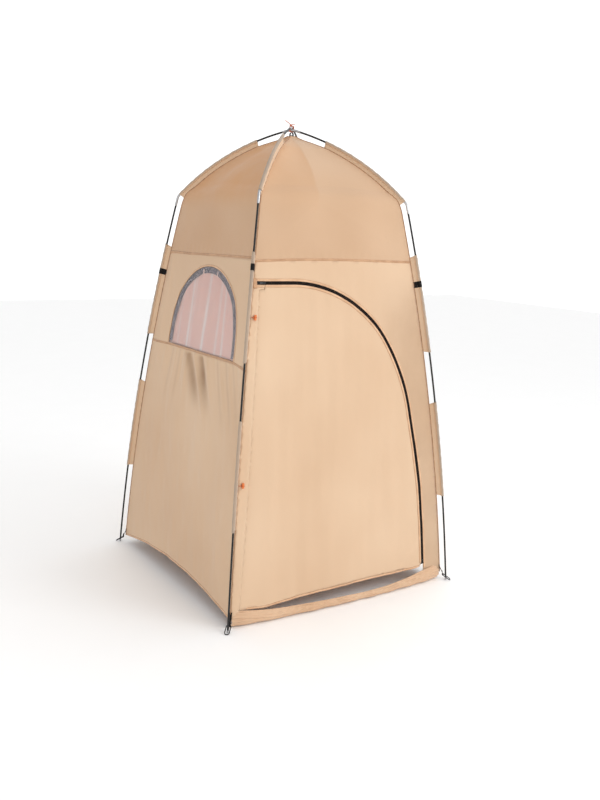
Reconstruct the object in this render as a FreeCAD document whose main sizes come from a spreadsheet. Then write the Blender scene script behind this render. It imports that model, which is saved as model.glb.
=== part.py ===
import FreeCAD, Part

import math
import os

import Sketcher
from FreeCAD import Placement, Rotation, Vector

# Privacy shower tent: two shock-corded poles cross over a four-sided cabin of light cloth.
# Millimetres. +Z is up, the door faces -Y, the window faces -X, and the origin is on the ground
# under the centre of the cabin. Each half pole lies in the upright plane through a corner and the
# centre, and is a chain of tangent arcs: apex tube, roof pole, shoulder elbow and leg.

doc = FreeCAD.newDocument("privacy_shower_tent")

# ---------------------------------------------------------------------------
# Driving dimensions
# ---------------------------------------------------------------------------

sheet = doc.addObject("Spreadsheet::Sheet", "Sheet")

cells = {
    # height of the two crossing poles' centre lines at the apex
    "apex_over": 2102.5,
    "apex_under": 2091.0,
    # the chain of one half pole, from the apex down
    "apex_bend_radius": 90.0,
    "apex_half_turn": 16.0,
    "apex_arm": 18.0,
    "roof_radius": 1129.0,
    "roof_turn": 28.0,
    "elbow_arm": 36.6,
    "elbow_radius": 30.0,
    "elbow_turn": 32.0,
    "leg_radius": 11195.0,
    "leg_turn_over": 9.0085,
    "leg_turn_under": 8.9495,
    "leg_sections": 3.0,
    # tube sections
    "pole_outer": 8.5,
    "pole_inner": 5.4,
    "joint_outer": 11.0,
    "joint_inner": 9.1,
    "ferrule_outer": 10.4,
    "ferrule_inner": 8.7,
    "ferrule_turn": 0.31,
    "insertion": 16.0,
    "cord_outer": 2.6,
    # foot
    "tip_shank_outer": 5.2,
    "tip_shank_length": 24.0,
    "tip_collar_outer": 9.6,
    "tip_collar_length": 9.0,
    "tip_pin_outer": 5.6,
    "ring_wire": 4.0,
    "ring_width": 24.0,
    "ring_length": 46.0,
    "ring_tilt": 32.0,
    "ring_corner": 3.2,
    "strap_width": 12.6,
    "strap_thickness": 1.6,
    # cloth walls: one arc in side view, extruded across the side
    "cloth": 1.0,
    "wall_radius": 15454.0,
    "wall_centre_in": 14846.0,
    "wall_centre_up": -943.4,
    "wall_half_width": 640.0,
    "mitre": 0.3,
    "hem_corner": 36.0,
    "hem_rise": 58.0,
    "seam_upper": 1522.0,
    "seam_gap": 0.4,
    "shoulder_low": 1752.0,
    "roof_cloth_radius": 790.8,
    "roof_centre_in": 298.8,
    "roof_centre_up": 1339.6,
    "roof_cloth_low": 1800.0,
    "roof_cloth_high": 2025.0,
    "gore_tip_out": 8.0,
    "gore_tip_up": 2067.0,
    # pole sleeves
    "sleeve_outer": 13.8,
    "sleeve_inner": 12.6,
    "sleeve_web": 1.4,
    "sleeve_reach": 28.6,
    "roof_reach_over": 33.6,
    "roof_reach_under": 23.4,
    # door and its zip, drawn on the front wall
    "zip_start": -408.0,
    "zip_height": 1425.5,
    "zip_straight": 174.4,
    "zip_radius_top": 590.0,
    "zip_turn_top": 60.0,
    "zip_radius_mid": 880.0,
    "zip_turn_mid": 19.0,
    "zip_radius_low": 4859.0,
    "zip_turn_low": 9.0,
    "zip_half_width": 9.0,
    "zip_gap": 0.8,
    "zip_park": 36.0,
    "tape_proud": 0.6,
    "door_left_top": 398.0,
    "door_left_low": 535.0,
    "door_low": 74.0,
    "door_notch": 27.0,
    "door_gap": 0.6,
    "slider_length": 15.0,
    "slider_width": 11.0,
    "slider_plate": 1.6,
    "slider_bridge": 1.0,
    "bail_bar": 1.6,
    "pull_length": 26.0,
    "pull_width": 7.0,
    "pull_thickness": 1.2,
    # sill strip across the doorway
    "sill_radius": 5538.0,
    "sill_bulge": 601.0,
    "sill_height": 33.0,
    "sill_thickness": 5.0,
    "sill_half_width": 566.0,
    # window on the left wall
    "window_centre": 30.0,
    "window_half_width": 325.0,
    "window_low": 1090.0,
    "window_side": 1120.0,
    "window_high": 1469.0,
    "band_width": 28.0,
    "mesh": 0.6,
    "layer_gap": 0.5,
    "flap_gap": 7.0,
    "seam_lower": 1084.0,
    # toggles and webbing
    "toggle_outer": 9.0,
    "toggle_length": 18.0,
    "toggle_cord": 2.4,
    "toggle_reach": 14.0,
    "band_height": 0.13,
    "tie_cord": 3.2,
}

for row, (alias, value) in enumerate(cells.items(), start=1):
    sheet.set("A%d" % row, alias.replace("_", " "))
    sheet.set("B%d" % row, str(value))
    sheet.setAlias("B%d" % row, alias)
doc.recompute()

V = cells
FACINGS = {"front": 0.0, "left": -90.0, "back": 180.0, "right": 90.0}
CORNERS = {"front_left": 225.0, "front_right": 315.0, "back_right": 45.0, "back_left": 135.0}
OVER = ("front_left", "back_right")
nodes = []


def node(obj, label):
    """Names a finished sub-part; the label is also its file's name."""
    obj.Label = label
    nodes.append(obj)
    return obj


# ---------------------------------------------------------------------------
# Sketch and body helpers
# ---------------------------------------------------------------------------


def new_body(label):
    return node(doc.addObject("PartDesign::Body", "Body_" + label), label)


def new_sketch(body, role, name):
    sketch = body.newObject("Sketcher::SketchObject", name)
    plane = next(f for f in body.Origin.OriginFeatures if f.Role == role)
    sketch.AttachmentSupport = (plane, [""])
    sketch.MapMode = "FlatFace"
    return sketch


def bind(sketch, constraint, name, expression):
    """Adds a dimension and ties it to a formula in the sheet's cells."""
    index = sketch.addConstraint(constraint)
    sketch.renameConstraint(index, name)
    sketch.setExpression("Constraints." + name, expression)


def circle(sketch, across, diameter, across_cell, diameter_formula):
    """A circle on the horizontal axis, `across` away from the origin."""
    index = sketch.addGeometry(Part.Circle(Vector(across, 0, 0), Vector(0, 0, 1), diameter / 2), False)
    sketch.addConstraint(Sketcher.Constraint("PointOnObject", index, 3, -1))
    bind(sketch, Sketcher.Constraint("DistanceX", -1, 1, index, 3, across), "across%d" % index, across_cell)
    bind(sketch, Sketcher.Constraint("Diameter", index, diameter), "bore%d" % index, diameter_formula)


def outline(sketch, points, centres=None, radii=None):
    """A closed outline. `centres` gives the centre of the arc that starts at a point, and `radii`
    the formula of that arc's radius."""
    centres = centres or {}
    radii = radii or {}
    ends = []
    first = len(sketch.Geometry)
    for i, start in enumerate(points):
        stop = points[(i + 1) % len(points)]
        if i not in centres:
            sketch.addGeometry(Part.LineSegment(Vector(*start, 0), Vector(*stop, 0)), False)
            ends.append((1, 2))
            continue
        cx, cy = centres[i]
        a = math.atan2(start[1] - cy, start[0] - cx)
        b = math.atan2(stop[1] - cy, stop[0] - cx)
        radius = math.hypot(start[0] - cx, start[1] - cy)
        turn = (b - a + math.pi) % (2 * math.pi) - math.pi
        low, high = (a, a + turn) if turn > 0 else (a + turn, a)
        base = Part.Circle(Vector(cx, cy, 0), Vector(0, 0, 1), radius)
        sketch.addGeometry(Part.ArcOfCircle(base, low, high), False)
        ends.append((1, 2) if turn > 0 else (2, 1))
    for i in range(len(points)):
        j = (i + 1) % len(points)
        joint = Sketcher.Constraint("Coincident", first + i, ends[i][1], first + j, ends[j][0])
        sketch.addConstraint(joint)
    for i, formula in radii.items():
        radius = sketch.Geometry[first + i].Radius
        bind(sketch, Sketcher.Constraint("Radius", first + i, radius), "radius%d" % (first + i), formula)
    return first, ends


def pin(sketch, edge, point, x, y, x_formula, y_formula):
    """Fixes a point of an outline at a place worked out from the sheet."""
    name = "e%dp%d" % (edge, point)
    if x_formula:
        along = Sketcher.Constraint("DistanceX", -1, 1, edge, point, x)
        bind(sketch, along, name + "x", x_formula)
    if y_formula:
        up = Sketcher.Constraint("DistanceY", -1, 1, edge, point, y)
        bind(sketch, up, name + "y", y_formula)


def pocket_all(body, sketch, name, symmetric=True):
    cut = body.newObject("PartDesign::Pocket", name)
    cut.Profile = sketch
    cut.Type = "ThroughAll"
    if symmetric:
        cut.SideType = "Symmetric"
    sketch.Visibility = False
    return cut


def check_cut(body, before, what):
    doc.recompute()
    if not body.Shape.Volume < before - 1e-6:
        raise RuntimeError("%s took nothing away" % what)


# ---------------------------------------------------------------------------
# The pole line in a corner's upright plane: r is out from the centre, z is up,
# and phi is the angle at which the pole runs down.
# ---------------------------------------------------------------------------


def sin(angle):
    return math.sin(math.radians(angle))


def cos(angle):
    return math.cos(math.radians(angle))


class Chain:
    """Walks down a half pole and remembers where each piece begins."""

    def __init__(self, over):
        self.over = over
        self.r = 0.0
        self.z = V["apex_over"] if over else V["apex_under"]
        self.phi = 0.0
        self.at = {}

    def arc(self, name, radius, turn):
        end = self.phi + turn
        centre = (self.r - radius * sin(self.phi), self.z - radius * cos(self.phi))
        self.at[name] = (self.r, self.z, self.phi, centre, radius)
        self.r = centre[0] + radius * sin(end)
        self.z = centre[1] + radius * cos(end)
        self.phi = end

    def line(self, name, length):
        self.at[name] = (self.r, self.z, self.phi, None, None)
        self.r += length * cos(self.phi)
        self.z -= length * sin(self.phi)

    def mark(self, name):
        self.at[name] = (self.r, self.z, self.phi, None, None)


def build_chain(over):
    chain = Chain(over)
    chain.arc("apex", V["apex_bend_radius"], V["apex_half_turn"])
    chain.line("apex_arm", V["apex_arm"])
    chain.arc("roof", V["roof_radius"], V["roof_turn"])
    chain.line("elbow_arm", V["elbow_arm"])
    chain.arc("elbow", V["elbow_radius"], V["elbow_turn"])
    chain.line("elbow_leg_arm", V["elbow_arm"])
    chain.arc("leg", V["leg_radius"], V["leg_turn_over" if over else "leg_turn_under"])
    chain.mark("foot")
    return chain


CHAINS = {True: build_chain(True), False: build_chain(False)}


def chain_of(corner):
    return CHAINS[corner in OVER]


def corner_axes(corner):
    """The corner's outward direction, up, and the sideways direction z x r."""
    bearing = CORNERS[corner]
    out = Vector(cos(bearing), sin(bearing), 0)
    up = Vector(0, 0, 1)
    return out, up, up.cross(out)


def on_corner(corner, r, z):
    out, up, _ = corner_axes(corner)
    return out * r + up * z


def along_pole(corner, r, z, phi):
    """A placement whose X runs down the pole and whose Y points to the arc's centre."""
    out, up, side = corner_axes(corner)
    x = out * cos(phi) - up * sin(phi)
    y = -out * sin(phi) - up * cos(phi)
    return Placement(on_corner(corner, r, z), Rotation(x, y, side, "XYZ"))


def round_arc(corner, centre, phi):
    """A placement for a piece revolved about its arc's centre, starting at phi."""
    out, up, side = corner_axes(corner)
    x = out * sin(phi) + up * cos(phi)
    y = out * cos(phi) - up * sin(phi)
    return Placement(on_corner(corner, *centre), Rotation(x, y, side, "XYZ"))


def revolve(body, sketch, name, formula, value):
    """Turns a profile in the XZ plane about Z, from +X towards +Y."""
    turn = body.newObject("PartDesign::Revolution", name)
    turn.Profile = sketch
    turn.ReferenceAxis = (sketch, ["V_Axis"])
    turn.Angle = value
    turn.setExpression("Angle", formula)
    sketch.Visibility = False
    doc.recompute()
    if body.Shape.CenterOfGravity.y < 0:
        turn.Reversed = True
        doc.recompute()
    return turn


def degrees(length, radius):
    return math.degrees(length / radius)


def bent_tube(label, corner, centre, phi, radius_cell, turn_formula, turn, outer_cell, inner_cell):
    """A tube that follows one arc of the pole line."""
    body = new_body(label)
    profile = new_sketch(body, "XZ_Plane", "Ring_" + label)
    radius = V[radius_cell]
    circle(profile, radius, V[outer_cell], "Sheet." + radius_cell, "Sheet." + outer_cell)
    circle(profile, radius, V[inner_cell], "Sheet." + radius_cell, "Sheet." + inner_cell)
    revolve(body, profile, "Tube_" + label, turn_formula, turn)
    body.Placement = round_arc(corner, centre, phi)
    expected = math.pi / 4 * (V[outer_cell] ** 2 - V[inner_cell] ** 2) * radius * math.radians(turn)
    if abs(body.Shape.Volume - expected) > 0.01 * expected:
        raise RuntimeError("tube %s has the wrong volume" % label)
    return body


# ---------------------------------------------------------------------------
# Poles
# ---------------------------------------------------------------------------

for corner in CORNERS:
    chain = chain_of(corner)
    leg_cell = "Sheet.leg_turn_over" if chain.over else "Sheet.leg_turn_under"
    leg_turn = V["leg_turn_over" if chain.over else "leg_turn_under"]

    # the roof pole runs from inside the apex tube to inside the elbow
    r, z, phi, centre, radius = chain.at["roof"]
    reach = degrees(V["insertion"], radius)
    bent_tube(
        "roof_pole_" + corner, corner, centre, phi - reach, "roof_radius",
        "Sheet.roof_turn + 2 * Sheet.insertion / Sheet.roof_radius * 180 / pi",
        V["roof_turn"] + 2 * reach, "pole_outer", "pole_inner",
    )

    # three leg sections, the top one starting inside the elbow
    r, z, phi, centre, radius = chain.at["leg"]
    reach = degrees(V["insertion"], radius)
    section = leg_turn / V["leg_sections"]
    for i, place in enumerate(("upper", "middle", "lower")):
        extra = reach if i == 0 else 0.0
        formula = leg_cell + " / Sheet.leg_sections"
        if i == 0:
            formula += " + Sheet.insertion / Sheet.leg_radius * 180 / pi"
        bent_tube(
            "leg_%s_%s" % (place, corner), corner, centre, phi + i * section - extra, "leg_radius",
            formula, section + extra, "pole_outer", "pole_inner",
        )


def pipe_elbow(label, corner, start, arm_cell, radius_cell, turn, turn_formula):
    """A silver tube with two straight arms and one bend, which the pole ends slide into."""
    body = new_body(label)
    r, z, phi = start
    arm = V[arm_cell]
    radius = V[radius_cell]
    path = new_sketch(body, "XY_Plane", "Path_" + label)
    bend_end = (arm + radius * sin(turn), radius * (1 - cos(turn)))
    end = (bend_end[0] + arm * cos(turn), bend_end[1] + arm * sin(turn))
    path.addGeometry(Part.LineSegment(Vector(0, 0, 0), Vector(arm, 0, 0)), False)
    base = Part.Circle(Vector(arm, radius, 0), Vector(0, 0, 1), radius)
    path.addGeometry(Part.ArcOfCircle(base, -math.pi / 2, -math.pi / 2 + math.radians(turn)), False)
    path.addGeometry(Part.LineSegment(Vector(*bend_end, 0), Vector(*end, 0)), False)
    path.addConstraint(Sketcher.Constraint("Coincident", 0, 1, -1, 1))
    path.addConstraint(Sketcher.Constraint("Horizontal", 0))
    path.addConstraint(Sketcher.Constraint("Tangent", 0, 2, 1, 1))
    path.addConstraint(Sketcher.Constraint("Tangent", 1, 2, 2, 1))
    bind(path, Sketcher.Constraint("Distance", 0, arm), "arm", "Sheet." + arm_cell)
    bind(path, Sketcher.Constraint("Radius", 1, radius), "bend", "Sheet." + radius_cell)
    bind(path, Sketcher.Constraint("Distance", 2, arm), "far_arm", "Sheet." + arm_cell)
    angle = Sketcher.Constraint("Angle", 2, math.radians(turn))
    bind(path, angle, "turn", "(%s) * 1 deg" % turn_formula)
    ring = new_sketch(body, "YZ_Plane", "Ring_" + label)
    circle(ring, 0.0, V["joint_outer"], "0 mm", "Sheet.joint_outer")
    circle(ring, 0.0, V["joint_inner"], "0 mm", "Sheet.joint_inner")
    pipe = body.newObject("PartDesign::AdditivePipe", "Pipe_" + label)
    pipe.Profile = ring
    pipe.Spine = (path, ["Edge1", "Edge2", "Edge3"])
    doc.recompute()
    body.Placement = along_pole(corner, r, z, phi)
    length = 2 * arm + radius * math.radians(turn)
    expected = math.pi / 4 * (V["joint_outer"] ** 2 - V["joint_inner"] ** 2) * length
    if abs(body.Shape.Volume - expected) > 0.02 * expected:
        raise RuntimeError("elbow %s has the wrong volume" % label)


for corner in CORNERS:
    start = chain_of(corner).at["elbow_arm"][:3]
    pipe_elbow(
        "shoulder_elbow_" + corner, corner, start, "elbow_arm", "elbow_radius",
        V["elbow_turn"], "Sheet.elbow_turn",
    )

# each apex tube starts at the far arm of one half pole and ends at the near arm of the other
for label, corner in (("apex_tube_over", "front_left"), ("apex_tube_under", "front_right")):
    chain = chain_of(corner)
    r, z, phi, _, _ = chain.at["apex_arm"]
    arm = V["apex_arm"]
    start = (-(r + arm * cos(phi)), z - arm * sin(phi), -phi)
    pipe_elbow(
        label, corner, start, "apex_arm", "apex_bend_radius",
        2 * V["apex_half_turn"], "2 * Sheet.apex_half_turn",
    )


def compound_node(label, shapes):
    """Several separate solids of one kind kept together as one sub-part."""
    feature = doc.addObject("Part::Feature", "Shape_" + label)
    feature.Shape = Part.makeCompound(shapes)
    return node(feature, label)


def pierced(outline_wire, hole_wire):
    """A flat face with a hole in it."""
    return Part.Face(outline_wire).cut(Part.Face(hole_wire)).Faces[0]


def ring_segment(radius, outer, inner, turn):
    """A short bent tube about Z for joints inside the sleeves."""
    big = Part.Wire(Part.makeCircle(outer / 2, Vector(radius, 0, 0), Vector(0, 1, 0)))
    small = Part.Wire(Part.makeCircle(inner / 2, Vector(radius, 0, 0), Vector(0, 1, 0)))
    return pierced(big, small).revolve(Vector(0, 0, 0), Vector(0, 0, 1), turn)


def placed(shape, placement):
    shape.Placement = placement
    return shape


# two ferrules on each leg, one over each joint between sections
ferrules = []
for corner in CORNERS:
    chain = chain_of(corner)
    r, z, phi, centre, radius = chain.at["leg"]
    leg_turn = V["leg_turn_over" if chain.over else "leg_turn_under"]
    for i in (1, 2):
        start = phi + i * leg_turn / V["leg_sections"] - V["ferrule_turn"] / 2
        tube = ring_segment(radius, V["ferrule_outer"], V["ferrule_inner"], V["ferrule_turn"])
        ferrules.append(placed(tube, round_arc(corner, centre, start)))
compound_node("leg_ferrules", ferrules)

# stepped end tips: a shank in the pole's bore, a collar under the pole and a pin to the ground
tips = []
for corner in CORNERS:
    r, z, phi, _, _ = chain_of(corner).at["foot"]
    shank = Part.makeCylinder(
        V["tip_shank_outer"] / 2, V["tip_shank_length"] + 0.2,
        Vector(-V["tip_shank_length"], 0, 0), Vector(1, 0, 0),
    )
    collar = Part.makeCylinder(
        V["tip_collar_outer"] / 2, V["tip_collar_length"], Vector(0.2, 0, 0), Vector(1, 0, 0)
    )
    whole = shank.fuse(collar)
    whole = placed(whole, along_pole(corner, r, z, phi))
    low = on_corner(corner, r, z) + (on_corner(corner, cos(phi), -sin(phi))) * V["tip_collar_length"]
    stem = Part.makeCylinder(V["tip_pin_outer"] / 2, low.z + 1.0, Vector(low.x, low.y, 0.0))
    tips.append(whole.fuse(stem).removeSplitter())
compound_node("foot_tips", tips)

def wall_out(z, proud=0.0):
    """How far the outer face of the cloth stands from the centre plane at height z."""
    radius = V["wall_radius"] + proud
    return math.sqrt(radius ** 2 - (z - V["wall_centre_up"]) ** 2) - V["wall_centre_in"]


# oval rings on the corner straps, each round its pole tip and leaning down to the ground
rings = []
straps = []
for corner in CORNERS:
    r, z, phi, _, _ = chain_of(corner).at["foot"]
    wire = V["ring_wire"]
    half_width = V["ring_width"] / 2 - wire / 2
    straight = V["ring_length"] - V["ring_width"]
    # the inner end is a straight bar with rounded corners, which the strap's loop holds
    turn = V["ring_corner"]
    bar = -half_width
    near = bar + turn
    bend = turn * (1 - math.sqrt(0.5))
    low = Vector(near, -half_width, 0)
    top = Vector(near, half_width, 0)
    far_low = Vector(straight, -half_width, 0)
    far_top = Vector(straight, half_width, 0)
    bar_low = Vector(bar, -half_width + turn, 0)
    bar_top = Vector(bar, half_width - turn, 0)
    path = Part.Wire([
        Part.LineSegment(low, far_low).toShape(),
        Part.Arc(far_low, Vector(straight + half_width, 0, 0), far_top).toShape(),
        Part.LineSegment(far_top, top).toShape(),
        Part.Arc(top, Vector(bar + bend, half_width - bend, 0), bar_top).toShape(),
        Part.LineSegment(bar_top, bar_low).toShape(),
        Part.Arc(bar_low, Vector(bar + bend, -half_width + bend, 0), low).toShape(),
    ])
    section = Part.Wire(Part.makeCircle(wire / 2, low, Vector(1, 0, 0)))
    link = path.makePipeShell([section], True, False)
    out, up, side = corner_axes(corner)
    tilt = V["ring_tilt"]
    # the ring's inner end is this far above the ground when its outer end lies on it
    span = straight + half_width
    drop = (span + half_width) * sin(tilt)
    hold_r = r - 0.4 * (span + half_width) * cos(tilt)
    hold_z = wire / 2 + drop
    x = out * cos(tilt) - up * sin(tilt)
    y = side
    origin = on_corner(corner, hold_r, hold_z) + x * half_width
    rings.append(placed(link, Placement(origin, Rotation(x, y, x.cross(y), "XYZ"))))

    # a webbing strap sewn to the hem's corner, ending in a loop round the ring
    width = V["strap_width"]
    thick = V["strap_thickness"]
    inner_r = wire / 2 + 0.4
    loop = Part.makeCylinder(inner_r + thick, width).cut(Part.makeCylinder(inner_r, width))
    top_z = 2 * V["hem_corner"]
    top_x = wall_out(top_z) * math.sqrt(2) + 1.5 - hold_r
    outer_x = -inner_r - thick
    knee = 8.0
    side_view = [
        Vector(outer_x, 0, 0), Vector(-inner_r, 0, 0), Vector(-inner_r, knee, 0),
        Vector(top_x + thick, top_z - hold_z, 0), Vector(top_x, top_z - hold_z, 0),
        Vector(outer_x, knee, 0), Vector(outer_x, 0, 0),
    ]
    tail = Part.Face(Part.makePolygon(side_view)).extrude(Vector(0, 0, width))
    strap = loop.fuse(tail).removeSplitter()
    base = on_corner(corner, hold_r, hold_z) + side * (width / 2)
    straps.append(placed(strap, Placement(base, Rotation(out, up, out.cross(up), "XYZ"))))
compound_node("foot_rings", rings)
compound_node("foot_straps", straps)

# elastic cord inside each pole, from one foot tip to the other
cords = []
for first, second in (("front_left", "back_right"), ("front_right", "back_left")):
    chain = chain_of(first)
    r, z, phi, centre, radius = chain.at["leg"]
    leg_turn = V["leg_turn_over" if chain.over else "leg_turn_under"]
    stop = phi + leg_turn - degrees(V["tip_shank_length"] + 6.0, radius)

    def half(sign):
        edges = []
        points = []
        for name in ("apex", "roof", "elbow", "leg"):
            r0, z0, phi0, c, rad = chain.at[name]
            turn = {
                "apex": V["apex_half_turn"], "roof": V["roof_turn"],
                "elbow": V["elbow_turn"], "leg": stop - phi0,
            }[name]
            arc = [
                on_corner(first, sign * (c[0] + rad * sin(phi0 + part * turn)),
                          c[1] + rad * cos(phi0 + part * turn))
                for part in (0.0, 0.5, 1.0)
            ]
            if points:
                edges.append(Part.LineSegment(points[-1], arc[0]).toShape())
            edges.append(Part.Arc(*arc).toShape())
            points.append(arc[2])
        return edges, points[-1]

    near, near_end = half(1)
    far, far_end = half(-1)
    line = Part.Wire(Part.__sortEdges__(near + far))
    down = on_corner(first, cos(stop), -sin(stop))
    section = Part.Wire(Part.makeCircle(V["cord_outer"] / 2, near_end, down))
    cord = line.makePipeShell([section], True, False)
    expected = math.pi / 4 * V["cord_outer"] ** 2 * line.Length
    if abs(cord.Volume - expected) > 0.01 * expected:
        raise RuntimeError("shock cord has the wrong volume")
    cords.append(cord)
compound_node("shock_cords", cords)


# ---------------------------------------------------------------------------
# Cloth
# ---------------------------------------------------------------------------


def out_formula(z_formula, proud_formula):
    return "Sheet.wall_centre_in - sqrt((Sheet.wall_radius + %s)^2 - (%s - Sheet.wall_centre_up)^2)" % (
        proud_formula, z_formula,
    )


def wall_strip(body, label, low, high, low_formula, high_formula, outer=0.0, inner=None,
               outer_formula="0", inner_formula="-Sheet.cloth", half=None):
    """The curved sheet that the pieces of one side are cut from, as an extruded arc."""
    inner = -V["cloth"] if inner is None else inner
    profile = new_sketch(body, "YZ_Plane", "Profile_" + label)
    points = [
        (-wall_out(low, outer), low), (-wall_out(high, outer), high),
        (-wall_out(high, inner), high), (-wall_out(low, inner), low),
    ]
    centre = (V["wall_centre_in"], V["wall_centre_up"])
    first, ends = outline(
        profile, points, {0: centre, 2: centre},
        {0: "Sheet.wall_radius + " + outer_formula, 2: "Sheet.wall_radius + " + inner_formula},
    )
    formulas = [
        (out_formula(low_formula, outer_formula), low_formula),
        (out_formula(high_formula, outer_formula), high_formula),
        (out_formula(high_formula, inner_formula), high_formula),
        (out_formula(low_formula, inner_formula), low_formula),
    ]
    for i, (x_formula, y_formula) in enumerate(formulas):
        pin(profile, first + i, ends[i][0], *points[i], x_formula, y_formula)
    pad = body.newObject("PartDesign::Pad", "Sheet_" + label)
    pad.Profile = profile
    pad.SideType = "Symmetric"
    pad.Length = 2 * V["wall_half_width"]
    pad.setExpression("Length", "2 * Sheet.wall_half_width")
    profile.Visibility = False
    doc.recompute()
    return pad


def mitre(body, label):
    """Cuts a side's sheet along the two upright planes through its corners."""
    big = V["wall_half_width"] + 60.0
    gap = V["mitre"]
    start = 3.0
    cutter = new_sketch(body, "XY_Plane", "Mitre_" + label)
    for sign in (1, -1):
        points = [
            (sign * (start - gap), -start), (sign * (big - gap), -big),
            (sign * (big + 60.0), -big), (sign * (big + 60.0), -start),
        ]
        first, ends = outline(cutter, points)
        for i, (x, y) in enumerate(points):
            place = "%g mm" % x if i > 1 else "%d * (%g mm - Sheet.mitre * 1 mm)" % (sign, abs(x) + gap)
            pin(cutter, first + i, ends[i][0], x, y, place, "%g mm" % y)
    before = body.Shape.Volume
    pocket_all(body, cutter, "Cut_mitre_" + label)
    check_cut(body, before, "mitre of " + label)


def face(body, side):
    body.Placement = Placement(Vector(0, 0, 0), Rotation(Vector(0, 0, 1), FACINGS[side]))


def hem_arch(body, label):
    """Cuts the raised curve along the bottom hem."""
    half = wall_out(V["hem_corner"]) - 1.0
    rise = V["hem_rise"]
    low = V["hem_corner"]
    radius = (half ** 2 + rise ** 2) / (2 * rise)
    sketch = new_sketch(body, "XZ_Plane", "Arch_" + label)
    points = [(-half, low - 20.0), (half, low - 20.0), (half, low), (-half, low)]
    centre = (0.0, low + rise - radius)
    outline(sketch, points, {2: centre})
    before = body.Shape.Volume
    pocket_all(body, sketch, "Hem_" + label)
    check_cut(body, before, "hem of " + label)


def plain_wall(side, label, low, high, low_formula, high_formula, hem):
    body = new_body(label)
    wall_strip(body, label, low, high, low_formula, high_formula)
    mitre(body, label)
    if hem:
        hem_arch(body, label)
    face(body, side)
    return body


def roof_out(z, proud=0.0):
    radius = V["roof_cloth_radius"] + proud
    return math.sqrt(radius ** 2 - (z - V["roof_centre_up"]) ** 2) - V["roof_centre_in"]


def roof_formula(z_cell, proud):
    reach = "(Sheet.roof_cloth_radius + %s)^2" % proud
    rise = "(Sheet.%s - Sheet.roof_centre_up)^2" % z_cell
    return "Sheet.roof_centre_in - sqrt(%s - %s)" % (reach, rise)


def gore(side):
    """The upper panel of one side: the top of the wall, the shoulder and a quarter of the roof."""
    label = "upper_panel_" + side
    body = new_body(label)
    cloth = V["cloth"]
    seam = V["seam_upper"] + V["seam_gap"]
    shoulder = V["shoulder_low"]
    low = V["roof_cloth_low"]
    high = V["roof_cloth_high"]
    tip_out = V["gore_tip_out"]
    tip_up = V["gore_tip_up"]
    profile = new_sketch(body, "YZ_Plane", "Profile_" + label)
    points = [
        (-wall_out(seam), seam), (-wall_out(shoulder), shoulder), (-roof_out(low), low),
        (-roof_out(high), high), (-tip_out, tip_up),
        (-tip_out, tip_up - 1.6 * cloth), (-roof_out(high, -cloth), high - 0.6 * cloth),
        (-roof_out(low, -cloth), low), (-wall_out(shoulder, -cloth), shoulder),
        (-wall_out(seam, -cloth), seam),
    ]
    wall_centre = (V["wall_centre_in"], V["wall_centre_up"])
    roof_centre = (V["roof_centre_in"], V["roof_centre_up"])
    points[6] = (-roof_out(high - 0.6 * cloth, -cloth), high - 0.6 * cloth)
    first, ends = outline(
        profile, points,
        {0: wall_centre, 2: roof_centre, 6: roof_centre, 8: wall_centre},
        {0: "Sheet.wall_radius", 2: "Sheet.roof_cloth_radius",
         6: "Sheet.roof_cloth_radius - Sheet.cloth", 8: "Sheet.wall_radius - Sheet.cloth"},
    )
    seam_up = "Sheet.seam_upper + Sheet.seam_gap"
    high_in = "(Sheet.roof_cloth_high - 0.6 * Sheet.cloth)"
    formulas = [
        (out_formula("(%s)" % seam_up, "0"), seam_up),
        (out_formula("Sheet.shoulder_low", "0"), "Sheet.shoulder_low"),
        (roof_formula("roof_cloth_low", "0"), "Sheet.roof_cloth_low"),
        (roof_formula("roof_cloth_high", "0"), "Sheet.roof_cloth_high"),
        ("-Sheet.gore_tip_out", "Sheet.gore_tip_up"),
        ("-Sheet.gore_tip_out", "Sheet.gore_tip_up - 1.6 * Sheet.cloth"),
        ("Sheet.roof_centre_in - sqrt((Sheet.roof_cloth_radius - Sheet.cloth)^2"
         " - (%s - Sheet.roof_centre_up)^2)" % high_in, high_in),
        (roof_formula("roof_cloth_low", "-Sheet.cloth"), "Sheet.roof_cloth_low"),
        (out_formula("Sheet.shoulder_low", "-Sheet.cloth"), "Sheet.shoulder_low"),
        (out_formula("(%s)" % seam_up, "-Sheet.cloth"), seam_up),
    ]
    for i, (x_formula, y_formula) in enumerate(formulas):
        pin(profile, first + i, ends[i][0], *points[i], x_formula, y_formula)
    pad = body.newObject("PartDesign::Pad", "Sheet_" + label)
    pad.Profile = profile
    pad.SideType = "Symmetric"
    pad.Length = 2 * V["wall_half_width"]
    pad.setExpression("Length", "2 * Sheet.wall_half_width")
    doc.recompute()
    mitre(body, label)
    face(body, side)


for side in FACINGS:
    gore(side)

LOW, HIGH = "Sheet.hem_corner", "Sheet.seam_upper"
plain_wall("right", "wall_right", V["hem_corner"], V["seam_upper"], LOW, HIGH, True)
plain_wall("back", "wall_back", V["hem_corner"], V["seam_upper"], LOW, HIGH, True)
plain_wall("left", "wall_left_lower", V["hem_corner"], V["seam_lower"], LOW, "Sheet.seam_lower", True)


# --- door outline: every curve of the zip is an offset of one centre line ---


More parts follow.
